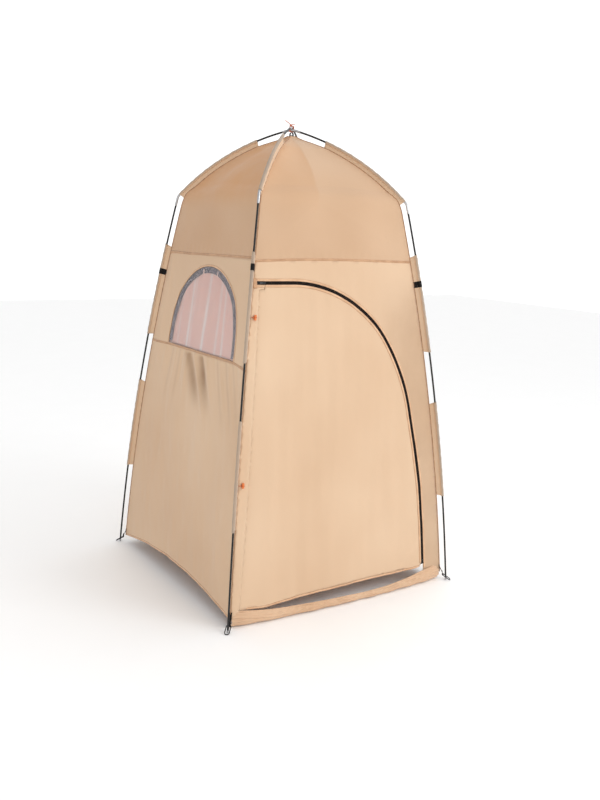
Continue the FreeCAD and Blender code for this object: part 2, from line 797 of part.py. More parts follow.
def zip_line(offset, start, low):
    """Corner points and arc centres of the zip's line, moved outwards by offset, from `start`
    along the straight top to the end of the long side, cut level with `low`."""
    x = V["zip_start"] + V["zip_straight"]
    z = V["zip_height"]
    points = [(start, z + offset), (x, z + offset)]
    centres = {}
    phi = 0.0
    cx, cz = x, z
    for radius_cell, turn_cell in (
        ("zip_radius_top", "zip_turn_top"), ("zip_radius_mid", "zip_turn_mid"),
        ("zip_radius_low", "zip_turn_low"),
    ):
        radius = V[radius_cell]
        centre = (cx - radius * sin(phi), cz - radius * cos(phi))
        centres[len(points) - 1] = centre
        phi += V[turn_cell]
        cx = centre[0] + radius * sin(phi)
        cz = centre[1] + radius * cos(phi)
        end = (cx + offset * sin(phi), cz + offset * cos(phi))
        if radius_cell == "zip_radius_low":
            reach = radius + offset
            end = (centre[0] + math.sqrt(reach ** 2 - (low - centre[1]) ** 2), low)
        points.append(end)
    return points, centres


ZIP_LOW = 104.0


def radius_formulas(first_index, offset_formula):
    names = ("zip_radius_top", "zip_radius_mid", "zip_radius_low")
    return {
        first_index + i: "Sheet.%s + %s" % (name, offset_formula) for i, name in enumerate(names)
    }


def door_left(z):
    """The door's straight hinged edge, leaning with the corner."""
    top = V["zip_height"] - V["door_notch"]
    low = V["door_low"]
    part = (z - low) / (top - low)
    return -(V["door_left_low"] + part * (V["door_left_top"] - V["door_left_low"]))


def keep_only(body, label, points, centres, radii):
    """Cuts a wall sheet back to the inside of an outline, seen from the side it faces."""
    sketch = new_sketch(body, "XZ_Plane", "Outline_" + label)
    big = V["wall_half_width"] + 40.0
    outline(sketch, [(-big, -60.0), (big, -60.0), (big, 1700.0), (-big, 1700.0)])
    first, _ = outline(sketch, points, centres)
    for i, formula in radii.items():
        radius = sketch.Geometry[first + i].Radius
        bind(sketch, Sketcher.Constraint("Radius", first + i, radius), "radius%d" % i, formula)
    before = body.Shape.Volume
    pocket_all(body, sketch, "Cut_" + label)
    check_cut(body, before, "outline of " + label)


def cut_out(body, label, points, centres, radii):
    sketch = new_sketch(body, "XZ_Plane", "Opening_" + label)
    outline(sketch, points, centres, radii)
    before = body.Shape.Volume
    pocket_all(body, sketch, "Cut_" + label)
    check_cut(body, before, "opening of " + label)


# front wall: the cloth that stays when the door is open
width = V["zip_half_width"]
gap = V["door_gap"]
notch_x = V["zip_start"] + V["zip_park"]
notch_z = V["zip_height"] - V["door_notch"]
line_points, line_centres = zip_line(width, V["zip_start"], -30.0)
hole = [
    (door_left(-30.0) - gap, -30.0), (door_left(notch_z) - gap, notch_z + gap),
    (notch_x - gap, notch_z + gap), (notch_x - gap, V["zip_height"] - width),
    (V["zip_start"], V["zip_height"] - width),
] + line_points
hole_centres = {i + 5: c for i, c in line_centres.items()}
wall_front = new_body("wall_front")
wall_strip(wall_front, "wall_front", V["hem_corner"], V["seam_upper"], LOW, HIGH)
mitre(wall_front, "wall_front")
cut_out(wall_front, "doorway", hole, hole_centres, radius_formulas(6, "Sheet.zip_half_width"))
face(wall_front, "front")

# door panel
line_points, line_centres = zip_line(-width, notch_x, ZIP_LOW)
door_low = V["door_low"]
end = line_points[-1]
door_points = [
    (door_left(door_low), door_low), (door_left(notch_z), notch_z), (notch_x, notch_z),
] + line_points + [(end[0] + 1.0, door_low + 10.0)]
door = new_body("door_panel")
wall_strip(door, "door_panel", 60.0, 1430.0, "60", "1430")
keep_only(
    door, "door_panel", door_points, {i + 3: c for i, c in line_centres.items()},
    radius_formulas(4, "-1 * Sheet.zip_half_width"),
)
face(door, "front")


def tape(label, near, far, start, far_formula, near_formula, extra=None):
    """One half of the zip: a stiff tape with its teeth, a little thicker than the cloth."""
    body = new_body(label)
    proud = V["tape_proud"]
    wall_strip(
        body, label, 90.0, 1450.0, "90", "1450", proud, -V["cloth"] - proud,
        "Sheet.tape_proud", "-(Sheet.cloth + Sheet.tape_proud)",
    )
    far_points, far_centres = zip_line(far, start, ZIP_LOW)
    near_points, near_centres = zip_line(near, start, ZIP_LOW)
    near_points.reverse()
    points = far_points + near_points
    centres = dict(far_centres)
    count = len(points)
    for i, centre in near_centres.items():
        centres[count - 2 - i] = centre
    radii = {1: "zip_radius_top", 2: "zip_radius_mid", 3: "zip_radius_low"}
    formulas = {i: "Sheet.%s + %s" % (name, far_formula) for i, name in radii.items()}
    formulas.update({
        count - 2 - i: "Sheet.%s + %s" % (name, near_formula) for i, name in radii.items()
    })
    keep_only(body, label, points, centres, formulas)
    face(body, "front")
    return body


edge = V["zip_gap"]
tape("zip_tape_wall", edge, width - 0.1, V["zip_start"] + 0.2,
     "(Sheet.zip_half_width - 0.1)", "Sheet.zip_gap")
tape("zip_tape_door", -edge, -(width - 0.1), notch_x + 0.4,
     "-1 * (Sheet.zip_half_width - 0.1)", "-1 * Sheet.zip_gap")

# the parked end's lower tape stays with the wall
park = new_body("zip_tape_end")
proud = V["tape_proud"]
wall_strip(
    park, "zip_tape_end", 1380.0, 1450.0, "1380", "1450", proud, -V["cloth"] - proud,
    "Sheet.tape_proud", "-(Sheet.cloth + Sheet.tape_proud)",
)
left = V["zip_start"] + 0.2
right = notch_x - gap
high_z = V["zip_height"] - edge
low_z = V["zip_height"] - width + 0.1
keep_only(park, "zip_tape_end", [(left, low_z), (right, low_z), (right, high_z), (left, high_z)], {}, {})
face(park, "front")


# --- slider and pull, on the front face at the parked end ---

slope = math.degrees(math.atan2(
    wall_out(V["zip_height"] - 5.0) - wall_out(V["zip_height"] + 5.0), 10.0))
SLIDE_UP = Vector(0, sin(slope), cos(slope))
SLIDE_OUT = Vector(0, -cos(slope), sin(slope))
slider_x = V["zip_start"] + 4.0
SLIDER = Placement(
    Vector(slider_x, -wall_out(V["zip_height"]), V["zip_height"]),
    Rotation(Vector(1, 0, 0), -SLIDE_OUT, SLIDE_UP, "XYZ"),
)
# in this frame X runs along the zip, -Y points outwards and Z points up the wall


def box(name, size, corner_at, placement):
    shape = doc.addObject("Part::Box", name)
    shape.Length, shape.Width, shape.Height = size
    shape.Placement = placement.multiply(Placement(Vector(*corner_at), Rotation()))
    return shape


def cylinder(name, radius, height, base, axis, placement):
    shape = doc.addObject("Part::Cylinder", name)
    shape.Radius = radius
    shape.Height = height
    shape.Placement = placement.multiply(
        Placement(Vector(*base), Rotation(Vector(0, 0, 1), Vector(*axis))))
    return shape


def fuse(label, shapes):
    union = doc.addObject("Part::MultiFuse", "Fuse_" + label)
    union.Shapes = shapes
    union.Refine = True
    for shape in shapes:
        shape.Visibility = False
    return node(union, label)


length = V["slider_length"]
wide = V["slider_width"]
plate = V["slider_plate"]
outer_y = -(V["tape_proud"] + 0.35 + plate)
inner_y = V["cloth"] + V["tape_proud"] + 0.35
bridge = V["slider_bridge"]
outer_plate = box("Slider_outer", (length, plate, wide), (0, outer_y, -wide / 2), SLIDER)
inner_plate = box("Slider_inner", (length, plate, wide), (0, inner_y, -wide / 2), SLIDER)
neck = box("Slider_neck", (4.0, inner_y - outer_y, bridge), (0.5, outer_y, -bridge / 2), SLIDER)
bail_y = outer_y - 2.6
post_low = box("Bail_post_low", (2.4, 3.6, 1.2), (6.3, outer_y - 3.5, -4.7), SLIDER)
post_high = box("Bail_post_high", (2.4, 3.6, 1.2), (6.3, outer_y - 3.5, 3.5), SLIDER)
bar = cylinder("Bail_bar", V["bail_bar"] / 2, 8.2, (7.5, bail_y, -4.1), (0, 0, 1), SLIDER)
for part, prop, formula in (
    (outer_plate, "Length", "Sheet.slider_length"), (outer_plate, "Height", "Sheet.slider_width"),
    (outer_plate, "Width", "Sheet.slider_plate"), (inner_plate, "Length", "Sheet.slider_length"),
    (inner_plate, "Height", "Sheet.slider_width"), (inner_plate, "Width", "Sheet.slider_plate"),
    (neck, "Height", "Sheet.slider_bridge"), (bar, "Radius", "Sheet.bail_bar / 2"),
):
    part.setExpression(prop, formula)
fuse("zip_slider", [outer_plate, inner_plate, neck, post_low, post_high, bar])

# the pull turns on the bail bar: a barrel with a flat tab
barrel_outer = cylinder("Pull_barrel_outer", 1.9, 5.6, (7.5, bail_y, -2.8), (0, 0, 1), SLIDER)
tab = box(
    "Pull_tab", (V["pull_length"], V["pull_thickness"], V["pull_width"]),
    (9.0, bail_y - V["pull_thickness"] / 2, -V["pull_width"] / 2), SLIDER,
)
tab.setExpression("Length", "Sheet.pull_length")
tab.setExpression("Width", "Sheet.pull_thickness")
tab.setExpression("Height", "Sheet.pull_width")
solid_pull = doc.addObject("Part::MultiFuse", "Pull_solid")
solid_pull.Shapes = [barrel_outer, tab]
bore = cylinder("Pull_bore", V["bail_bar"] / 2 + 0.08, 8.0, (7.5, bail_y, -4.0), (0, 0, 1), SLIDER)
bore.setExpression("Radius", "Sheet.bail_bar / 2 + 0.08")
pull = doc.addObject("Part::Cut", "Pull_cut")
pull.Base = solid_pull
pull.Tool = bore
node(pull, "zip_pull")

# stops at both ends of the zip, sewn to the wall
stop_top = Part.makeBox(3.2, 1.8, 2 * width, Vector(-3.6, -1.9, -width))
stop_frame = Placement(
    Vector(V["zip_start"], -wall_out(V["zip_height"]), V["zip_height"]), SLIDER.Rotation)
stop_low = Part.makeBox(2 * width, 1.8, 6.0, Vector(-width, -2.0, -7.0))
line_points, _ = zip_line(0.0, V["zip_start"], ZIP_LOW)
low_frame = Placement(
    Vector(line_points[-1][0], -wall_out(ZIP_LOW), ZIP_LOW), Rotation(Vector(1, 0, 0), -4.0))
compound_node("zip_stops", [placed(stop_top, stop_frame), placed(stop_low, low_frame)])

# --- sill strip: gathered hem across the foot of the doorway, lying on the ground ---

sill = new_body("door_sill")
profile = new_sketch(sill, "XY_Plane", "Plan_sill")
half = V["sill_half_width"]
centre = (0.0, V["sill_radius"] - V["sill_bulge"])
outer_y = centre[1] - math.sqrt(V["sill_radius"] ** 2 - half ** 2)
inner_radius = V["sill_radius"] - V["sill_thickness"]
inner_y = centre[1] - math.sqrt(inner_radius ** 2 - half ** 2)
points = [(-half, outer_y), (half, outer_y), (half, inner_y), (-half, inner_y)]
first, ends = outline(
    profile, points, {0: centre, 2: centre},
    {0: "Sheet.sill_radius", 2: "Sheet.sill_radius - Sheet.sill_thickness"},
)
out_y = "Sheet.sill_radius - Sheet.sill_bulge - sqrt(Sheet.sill_radius^2 - Sheet.sill_half_width^2)"
in_y = ("Sheet.sill_radius - Sheet.sill_bulge"
        " - sqrt((Sheet.sill_radius - Sheet.sill_thickness)^2 - Sheet.sill_half_width^2)")
for i, (x_formula, y_formula) in enumerate((
    ("-Sheet.sill_half_width", out_y), ("Sheet.sill_half_width", out_y),
    ("Sheet.sill_half_width", in_y), ("-Sheet.sill_half_width", in_y),
)):
    pin(profile, first + i, ends[i][0], *points[i], x_formula, y_formula)
pad = sill.newObject("PartDesign::Pad", "Pad_sill")
pad.Profile = profile
pad.Length = V["sill_height"]
pad.setExpression("Length", "Sheet.sill_height")
doc.recompute()


# --- window wall: an arched opening with mesh, a closing band and an inner flap ---


def arch(inset, low):
    """An arched outline: straight foot, upright sides and three arcs, seen from outside.
    The left wall's local X runs towards the front corner after it is turned into place."""
    c = V["window_centre"]
    half = V["window_half_width"] - inset
    side = V["window_side"]
    top = V["window_high"] - inset
    shoulder = (0.83 * half, side + 0.62 * (top - side))

    def through(p, q, r):
        ax, ay = p
        bx, by = q
        cx, cy = r
        d = 2 * (ax * (by - cy) + bx * (cy - ay) + cx * (ay - by))
        ux = ((ax**2 + ay**2) * (by - cy) + (bx**2 + by**2) * (cy - ay) + (cx**2 + cy**2) * (ay - by)) / d
        uy = ((ax**2 + ay**2) * (cx - bx) + (bx**2 + by**2) * (ax - cx) + (cx**2 + cy**2) * (bx - ax)) / d
        return ux, uy

    # the crown arc passes both shoulders and the top; the side arcs leave the sides upright
    crown = through((-shoulder[0], shoulder[1]), (0.0, top), shoulder)
    dx = half - shoulder[0]
    dz = shoulder[1] - side
    radius = (dx**2 + dz**2) / (2 * dx)
    points = [
        (c - half, low), (c + half, low), (c + half, side), (c + shoulder[0], shoulder[1]),
        (c - shoulder[0], shoulder[1]), (c - half, side),
    ]
    centres = {
        2: (c + half - radius, side), 3: (c + crown[0], crown[1]), 4: (c - half + radius, side),
    }
    return points, centres


window_wall = plain_wall(
    "left", "wall_left_window", V["seam_lower"] + V["seam_gap"], V["seam_upper"],
    "Sheet.seam_lower + Sheet.seam_gap", "Sheet.seam_upper", False,
)
points, centres = arch(0.0, V["window_low"])
cut_out(window_wall, "window", points, centres, {})

mesh = new_body("window_mesh")
wall_strip(
    mesh, "window_mesh", V["window_low"] - 3.0, V["window_high"] + 3.0,
    "Sheet.window_low - 3", "Sheet.window_high + 3", 0.0, -V["mesh"], "0", "-Sheet.mesh",
)
points, centres = arch(0.4, V["window_low"] + 0.4)
keep_only(mesh, "window_mesh", points, centres, {})
face(mesh, "left")

# a closing band stitched round the arch behind the mesh
band = new_body("window_band")
back = -(V["cloth"] + V["layer_gap"])
wall_strip(
    band, "window_band", V["window_low"] - 3.0, V["window_high"] + 8.0,
    "Sheet.window_low - 3", "Sheet.window_high + 8", back, back - V["cloth"],
    "-(Sheet.cloth + Sheet.layer_gap)", "-(2 * Sheet.cloth + Sheet.layer_gap)",
)
points, centres = arch(-2.0, V["window_low"] + 2.0)
keep_only(band, "window_band_outer", points, centres, {})
points, centres = arch(V["band_width"], V["window_low"] - 20.0)
cut_out(band, "window_band_inner", points, centres, {})
face(band, "left")

# the inner flap that hinges along the window's foot
flap = new_body("window_flap")
back = -V["flap_gap"]
wall_strip(
    flap, "window_flap", V["window_low"] - 3.0, V["window_high"] + 8.0,
    "Sheet.window_low - 3", "Sheet.window_high + 8", back, back - V["cloth"],
    "-Sheet.flap_gap", "-(Sheet.flap_gap + Sheet.cloth)",
)
points, centres = arch(8.0, V["window_low"] + 4.0)
keep_only(flap, "window_flap", points, centres, {})
face(flap, "left")


# --- pole sleeves: a flat web out from the cloth's corner, with a tube round the pole ---


def sleeve(corner, centre, phi, radius, turn, reach):
    """One stretch of sleeve, revolved about the pole's arc."""
    outer = V["sleeve_outer"] / 2
    inner = V["sleeve_inner"] / 2
    web = V["sleeve_web"] / 2
    meet = math.sqrt(outer**2 - web**2)
    start = Vector(radius - reach, 0, -web)
    low = Vector(radius - meet, 0, -web)
    high = Vector(radius - meet, 0, web)
    stop = Vector(radius - reach, 0, web)
    shell = Part.Wire([
        Part.LineSegment(start, low).toShape(),
        Part.Arc(low, Vector(radius + outer, 0, 0), high).toShape(),
        Part.LineSegment(high, stop).toShape(),
        Part.LineSegment(stop, start).toShape(),
    ])
    hole = Part.Wire(Part.makeCircle(inner, Vector(radius, 0, 0), Vector(0, 1, 0)))
    solid = pierced(shell, hole).revolve(Vector(0, 0, 0), Vector(0, 0, 1), turn)
    return placed(solid, round_arc(corner, centre, phi))


def leg_phi(chain, height):
    _, _, _, centre, radius = chain.at["leg"]
    return math.degrees(math.acos((height - centre[1]) / radius))


def roof_phi(chain, out):
    _, _, _, centre, radius = chain.at["roof"]
    return math.degrees(math.asin((out - centre[0]) / radius))


SLEEVE_SPANS = ((873.0, 421.0), (1550.0, 1108.0))
ROOF_SLEEVE = (162.0, 538.0)
# the tab sits higher on the near front pole than on the other three
BAND_TOPS = {"front_left": 1504.0}
bands = []
for corner in CORNERS:
    chain = chain_of(corner)
    solids = []
    _, _, _, centre, radius = chain.at["leg"]
    for top, bottom in SLEEVE_SPANS:
        start = leg_phi(chain, top)
        turn = leg_phi(chain, bottom) - start
        solids.append(sleeve(corner, centre, start, radius, turn, V["sleeve_reach"]))
    _, _, _, roof_centre, roof_radius = chain.at["roof"]
    start = roof_phi(chain, ROOF_SLEEVE[0])
    turn = roof_phi(chain, ROOF_SLEEVE[1]) - start
    reach = V["roof_reach_over" if chain.over else "roof_reach_under"]
    solids.append(sleeve(corner, roof_centre, start, roof_radius, turn, reach))
    compound_node("sleeve_" + corner, solids)

    # a webbing tab wrapped round the upper sleeve, open on the web's side
    big, small = V["sleeve_outer"] / 2 + 1.7, V["sleeve_outer"] / 2 + 0.3
    mouth = 18.0
    a = Vector(radius - big * cos(mouth), 0, -big * sin(mouth))
    b = Vector(radius - small * cos(mouth), 0, -small * sin(mouth))
    c = Vector(radius - small * cos(mouth), 0, small * sin(mouth))
    d = Vector(radius - big * cos(mouth), 0, big * sin(mouth))
    wrap = Part.Wire([
        Part.Arc(a, Vector(radius + big, 0, 0), d).toShape(),
        Part.LineSegment(d, c).toShape(),
        Part.Arc(c, Vector(radius + small, 0, 0), b).toShape(),
        Part.LineSegment(b, a).toShape(),
    ])
    solid = Part.Face(wrap).revolve(Vector(0, 0, 0), Vector(0, 0, 1), V["band_height"])
    band_phi = leg_phi(chain, BAND_TOPS.get(corner, 1433.0))
    bands.append(placed(solid, round_arc(corner, centre, band_phi)))
compound_node("sleeve_bands", bands)


# --- toggles ---


def toggle(label, placement, reach):
    """A short barrel on a cord stub; X runs from the seam to the barrel, Z along the barrel."""
    size = V["toggle_length"]
    barrel = cylinder(
        "Barrel_" + label, V["toggle_outer"] / 2, size, (reach, 0, -size / 2), (0, 0, 1), placement)
    stub = cylinder(
        "Stub_" + label, V["toggle_cord"] / 2, reach - 2.0, (0, 0, 0), (1, 0, 0), placement)
    barrel.setExpression("Radius", "Sheet.toggle_outer / 2")
    barrel.setExpression("Height", "Sheet.toggle_length")
    stub.setExpression("Radius", "Sheet.toggle_cord / 2")
    return fuse(label, [barrel, stub])


TOGGLE_OFF = 6.5
for label, height in (("door_toggle_upper", 1289.0), ("door_toggle_lower", 605.0)):
    lean = math.degrees(math.atan2(wall_out(height - 50) - wall_out(height + 50), 100.0))
    out = wall_out(height)
    up = Vector(sin(lean), sin(lean), cos(lean))
    up.normalize()
    across = Vector(1, 0, 0) - up * up.x
    across.normalize()
    frame = Placement(
        Vector(-out + 3.0, -out - TOGGLE_OFF, height), Rotation(across, up.cross(across), up, "XYZ"))
    toggle(label, frame, V["toggle_reach"])

for label, y in (("window_toggle_front", -205.0), ("window_toggle_back", 115.0)):
    height = 1146.0
    frame = Placement(
        Vector(-wall_out(height) + V["flap_gap"] + V["cloth"] + 6.0, y, height),
        Rotation(Vector(0, 0, -1), Vector(1, 0, 0), Vector(0, -1, 0), "XYZ"))
    toggle(label, frame, 26.0)


# --- apex: a webbing loop under the crossing and a cord tied round both tubes ---

loop = Part.makeBox(2.0, 15.0, 11.0, Vector(-1.0, -7.5, 2070.5))
loop_foot = Part.makeCylinder(7.0, 3.0, Vector(0, 0, 2067.5))
webbing = loop.fuse(loop_foot).removeSplitter()
turned = Placement(Vector(0, 0, 0), Rotation(Vector(0, 0, 1), 90.0))
compound_node("apex_loop", [placed(webbing, turned)])

half_width = 10.4
cord_r = V["tie_cord"] / 2
top_z = V["apex_over"] + V["joint_outer"] / 2 + cord_r + 0.6
low_z = V["apex_under"] - V["joint_outer"] / 2 - cord_r - 0.3
corner_r = 5.0
p = [
    Vector(-half_width, 0, low_z + corner_r), Vector(-half_width, 0, top_z - corner_r),
    Vector(-half_width + corner_r, 0, top_z), Vector(half_width - corner_r, 0, top_z),
    Vector(half_width, 0, top_z - corner_r), Vector(half_width, 0, low_z + corner_r),
    Vector(half_width - corner_r, 0, low_z), Vector(-half_width + corner_r, 0, low_z),
]
bend = corner_r * (1 - math.sqrt(0.5))
edges = []
for i, mid in ((1, (-half_width + bend, top_z - bend)), (3, (half_width - bend, top_z - bend)),
               (5, (half_width - bend, low_z + bend)), (7, (-half_width + bend, low_z + bend))):
    edges.append(Part.LineSegment(p[i - 1], p[i]).toShape())
    edges.append(Part.Arc(p[i], Vector(mid[0], 0, mid[1]), p[(i + 1) % 8]).toShape())
tie_path = Part.Wire(edges)
tie_section = Part.Wire(Part.makeCircle(cord_r, p[0], Vector(0, 0, 1)))
tie = tie_path.makePipeShell([tie_section], True, False)
tail_way = Vector(-0.62, 0.5, 0.60)
tail_way.normalize()
knot_at = Vector(-3.0, 2.0, top_z + 4.0)
knot = Part.makeSphere(5.5, knot_at)
tail = Part.makeCone(cord_r + 1.2, cord_r, 34.0, knot_at, tail_way)
short = Part.makeCylinder(cord_r * 0.8, 20.0, knot_at, Vector(0.75, -0.6, 0.25))
tie = tie.fuse([knot, tail, short])
compound_node("apex_tie", [tie])

# ---------------------------------------------------------------------------
# Check everything, then write one file for each sub-part
# ---------------------------------------------------------------------------

doc.recompute()
for obj in doc.Objects:
    if "Invalid" in obj.State or "Error" in obj.State:
        raise RuntimeError("%s (%s) is in state %s" % (obj.Name, obj.Label, obj.State))
labels = [obj.Label for obj in nodes]
if len(set(labels)) != len(labels):
    raise RuntimeError("two sub-parts share a label")
problems = []
for obj in nodes:
    shape = obj.Shape
    if shape.isNull() or not shape.isValid() or not shape.Solids:
        problems.append(obj.Label)
if problems:
    raise RuntimeError("no valid solid in %s" % ", ".join(problems))

os.makedirs("parts", exist_ok=True)
for obj in nodes:
    obj.Shape.exportStep(os.path.join("parts", obj.Label + ".step"))
foot = {name: CHAINS[name].at["foot"][:3] for name in (True, False)}
print("%d sub-parts; pole ends at %s" % (len(nodes), foot))
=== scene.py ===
"""Privacy shower tent: cloth, webbing, zip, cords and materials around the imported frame.

Metres. The door faces -Y, the window faces -X and the ground is z = 0.
"""

import math

import bmesh
import bpy
import numpy as np
from mathutils import Matrix, Vector
from mathutils.geometry import delaunay_2d_cdt


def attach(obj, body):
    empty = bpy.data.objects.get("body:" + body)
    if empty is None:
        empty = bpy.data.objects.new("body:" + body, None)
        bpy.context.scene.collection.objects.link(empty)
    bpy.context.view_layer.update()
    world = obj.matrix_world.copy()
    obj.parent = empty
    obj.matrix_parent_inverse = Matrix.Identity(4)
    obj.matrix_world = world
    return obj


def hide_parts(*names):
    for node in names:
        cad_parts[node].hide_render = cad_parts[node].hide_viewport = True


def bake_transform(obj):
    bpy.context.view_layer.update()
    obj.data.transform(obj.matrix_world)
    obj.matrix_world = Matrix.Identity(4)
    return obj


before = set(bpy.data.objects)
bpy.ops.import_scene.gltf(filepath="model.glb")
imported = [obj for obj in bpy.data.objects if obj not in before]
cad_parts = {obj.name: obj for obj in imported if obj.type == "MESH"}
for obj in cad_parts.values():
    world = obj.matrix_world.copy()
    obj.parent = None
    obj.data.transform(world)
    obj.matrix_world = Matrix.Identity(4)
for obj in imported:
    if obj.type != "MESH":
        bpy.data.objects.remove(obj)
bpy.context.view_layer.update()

ROOT = "tent"
CORNERS = {"front_left": 225.0, "front_right": 315.0, "back_right": 45.0, "back_left": 135.0}
OVER = ("front_left", "back_right")
SIDES = ("front", "left", "back", "right")
CLOTH = 0.0009
EDGE_GAP = 0.0002  # how far a wall's cloth stops short of the corner

# ---------------------------------------------------------------------------
# Surfaces that the cloth follows
# ---------------------------------------------------------------------------

WALL_RADIUS, WALL_IN, WALL_UP = 15.454, 14.846, -0.9434
HEM = 0.036
HEM_RISE = 0.058
SEAM_UPPER = 1.522
SEAM_LOWER = 1.084


def wall_out(z):
    """How far a wall's outer face stands from the centre plane at height z."""
    return np.sqrt(WALL_RADIUS**2 - (np.asarray(z, float) - WALL_UP) ** 2) - WALL_IN


def hump(t, centre, half):
    """A smooth bump from 0 to 1 and back over centre plus or minus half."""
    q = np.clip(1 - np.abs((np.asarray(t, float) - centre) / half), 0, 1)
    return q * q * (3 - 2 * q)


def ease(t, low, high):
    q = np.clip((np.asarray(t, float) - low) / (high - low), 0, 1)
    return q * q * (3 - 2 * q)


def ripple(x, z, seed, count, shortest, longest, lean=0.5):
    """A fixed sum of soft waves, about -1 to 1."""
    rng = np.random.RandomState(seed)
    total = np.zeros(np.broadcast(x, z).shape)
    for _ in range(count):
        length = rng.uniform(shortest, longest)
        angle = rng.normal(0, lean)
        phase = rng.uniform(0, 2 * math.pi)
        total += np.sin(2 * math.pi / length * (x * math.cos(angle) + z * math.sin(angle)) + phase)
    return total / math.sqrt(count)


def fold_fan(x, z, at, top, length, spread, lean, depth):
    """One soft crease that starts at (at, top), runs down and fades out."""
    down = (top - z) / length
    across = (x - at - lean * (top - z)) / (spread * (0.6 + np.clip(down, 0, 1) * 0.8))
    ridge = np.exp(-np.abs(across) ** 2.0)
    return depth * ridge * ease(down, -0.02, 0.05) * (1 - ease(down, 0.35, 1.0))


def edge_fade(x, z, low, high):
    """1 inside a wall and 0 at its corners and at two heights."""
    half = wall_out(z)
    side = ease(half - np.abs(x), 0.004, 0.10)
    return side * ease(z, low, low + 0.06) * (1 - ease(z, high - 0.06, high))


FOLDS_LEFT = (
    (-0.065, 0.29, 0.046, 0.62, -0.0100), (0.000, 0.34, 0.016, 0.55, 0.0080),
    (0.054, 0.29, 0.038, 0.50, -0.0100), (0.122, 0.26, 0.014, 0.42, 0.0060),
    (0.185, 0.22, 0.016, 0.40, -0.0030), (0.238, 0.30, 0.010, 0.44, 0.0036),
    (0.315, 0.36, 0.012, 0.42, 0.0036), (0.395, 0.30, 0.014, 0.30, -0.0026),
    (-0.072, 0.30, 0.011, -0.05, 0.0030), (-0.118, 0.24, 0.016, -0.10, -0.0038),
    (-0.190, 0.30, 0.012, -0.15, 0.0030), (-0.250, 0.22, 0.016, -0.18, -0.0024),
    (-0.305, 0.30, 0.012, -0.20, 0.0026), (-0.400, 0.24, 0.016, -0.24, -0.0022),
)


def left_folds(x, z):
    """The creases that hang from the seam under the window."""
    return sum(fold_fan(x, z, at, SEAM_LOWER, length, spread, lean, depth)
               for at, length, spread, lean, depth in FOLDS_LEFT)


def left_shade(spots):
    """Painted shade in the hollows between the creases under the window."""
    x, z = -spots[:, 1], spots[:, 2]
    deep = sum(fold_fan(x, z, at, SEAM_LOWER - 0.008, 0.27, spread, lean, 1.0)
               for at, spread, lean in ((-0.075, 0.040, 0.62), (0.052, 0.032, 0.50)))
    faint = sum(fold_fan(x, z, at, SEAM_LOWER, 0.34, 0.012, lean, 0.22)
                for at, lean in ((-0.150, -0.1), (-0.235, -0.15), (0.215, 0.40), (0.290, 0.42),
                                 (0.355, 0.40)))
    return np.clip(deep + faint, 0, 1)


def push(side, x, z):
    """How far the cloth of a wall stands out from its arc, from tension and slack."""
    x, z = np.asarray(x, float), np.asarray(z, float)
    seed = {"front": 3, "left": 11, "back": 23, "right": 37}[side]
    slack = 0.0030 * ripple(x, z, seed, 7, 0.22, 0.60, 0.9)
    slack += 0.0008 * ripple(x, z * 0.5, seed + 1, 9, 0.05, 0.12, 0.35)
    total = slack * edge_fade(x, z, HEM, SEAM_UPPER)
    # the upright corners pull small puckers out of the seams
    half = wall_out(z)
    near = hump(half - np.abs(x), 0.02, 0.028)
    total += 0.0007 * near * np.sin(z * 2 * math.pi / 0.034 + seed) * ease(z, HEM, HEM + 0.05)
    if side == "left":
        window = ease(z, SEAM_LOWER - 0.012, SEAM_LOWER + 0.012)
        low = 1 - window
        total = total + low * left_folds(x, z) * edge_fade(x, z, -1, 3)
        inside = np.clip(1 - ((x - 0.03) / 0.40) ** 4, 0, 1)
        total = total * (1 - 0.75 * window * inside)
    if side == "front":
        # diagonal creases where the zip's low end pulls on the door
        for at, low, lean, depth in ((0.40, 0.30, 0.9, 0.0030), (0.41, 0.24, 1.2, -0.0030),
                                     (0.42, 0.19, 1.5, 0.0028), (0.425, 0.15, 2.0, -0.0026)):
            slope = (z - low) - (x - at) * lean * 0.5
            reach = ease(x, 0.16, 0.40) * (1 - ease(x, 0.425, 0.455))
            total = total + depth * np.exp(-(slope / 0.016) ** 2) * reach
        # the zip's low end holds the cloth beside it flat
        total = total * (1 - np.exp(-((x - 0.447) / 0.030) ** 4) * (1 - ease(z, 0.27, 0.36)))
    return total


def put(side, x, out, z):
    """Points of a side, seen from outside with x to the right, in the row frame."""
    x, out, z = np.broadcast_arrays(*(np.asarray(q, float) for q in (x, out, z)))
    if side == "front":
        found = (x, -out, z)
    elif side == "left":
        found = (-out, -x, z)
    elif side == "back":
        found = (-x, out, z)
    else:
        found = (out, x, z)
    return np.stack(found, axis=-1)


def on_wall(side, x, z, proud=0.0):
    return put(side, x, wall_out(z) + push(side, x, z) + proud, z)


# ---------------------------------------------------------------------------
# Mesh helpers
# ---------------------------------------------------------------------------


def unit(vectors):
    return vectors / np.linalg.norm(vectors, axis=-1, keepdims=True)


def run_along(points):
    """The distance from the first point to each point."""
    return np.concatenate([[0], np.cumsum(np.linalg.norm(np.diff(points, axis=0), axis=1))])


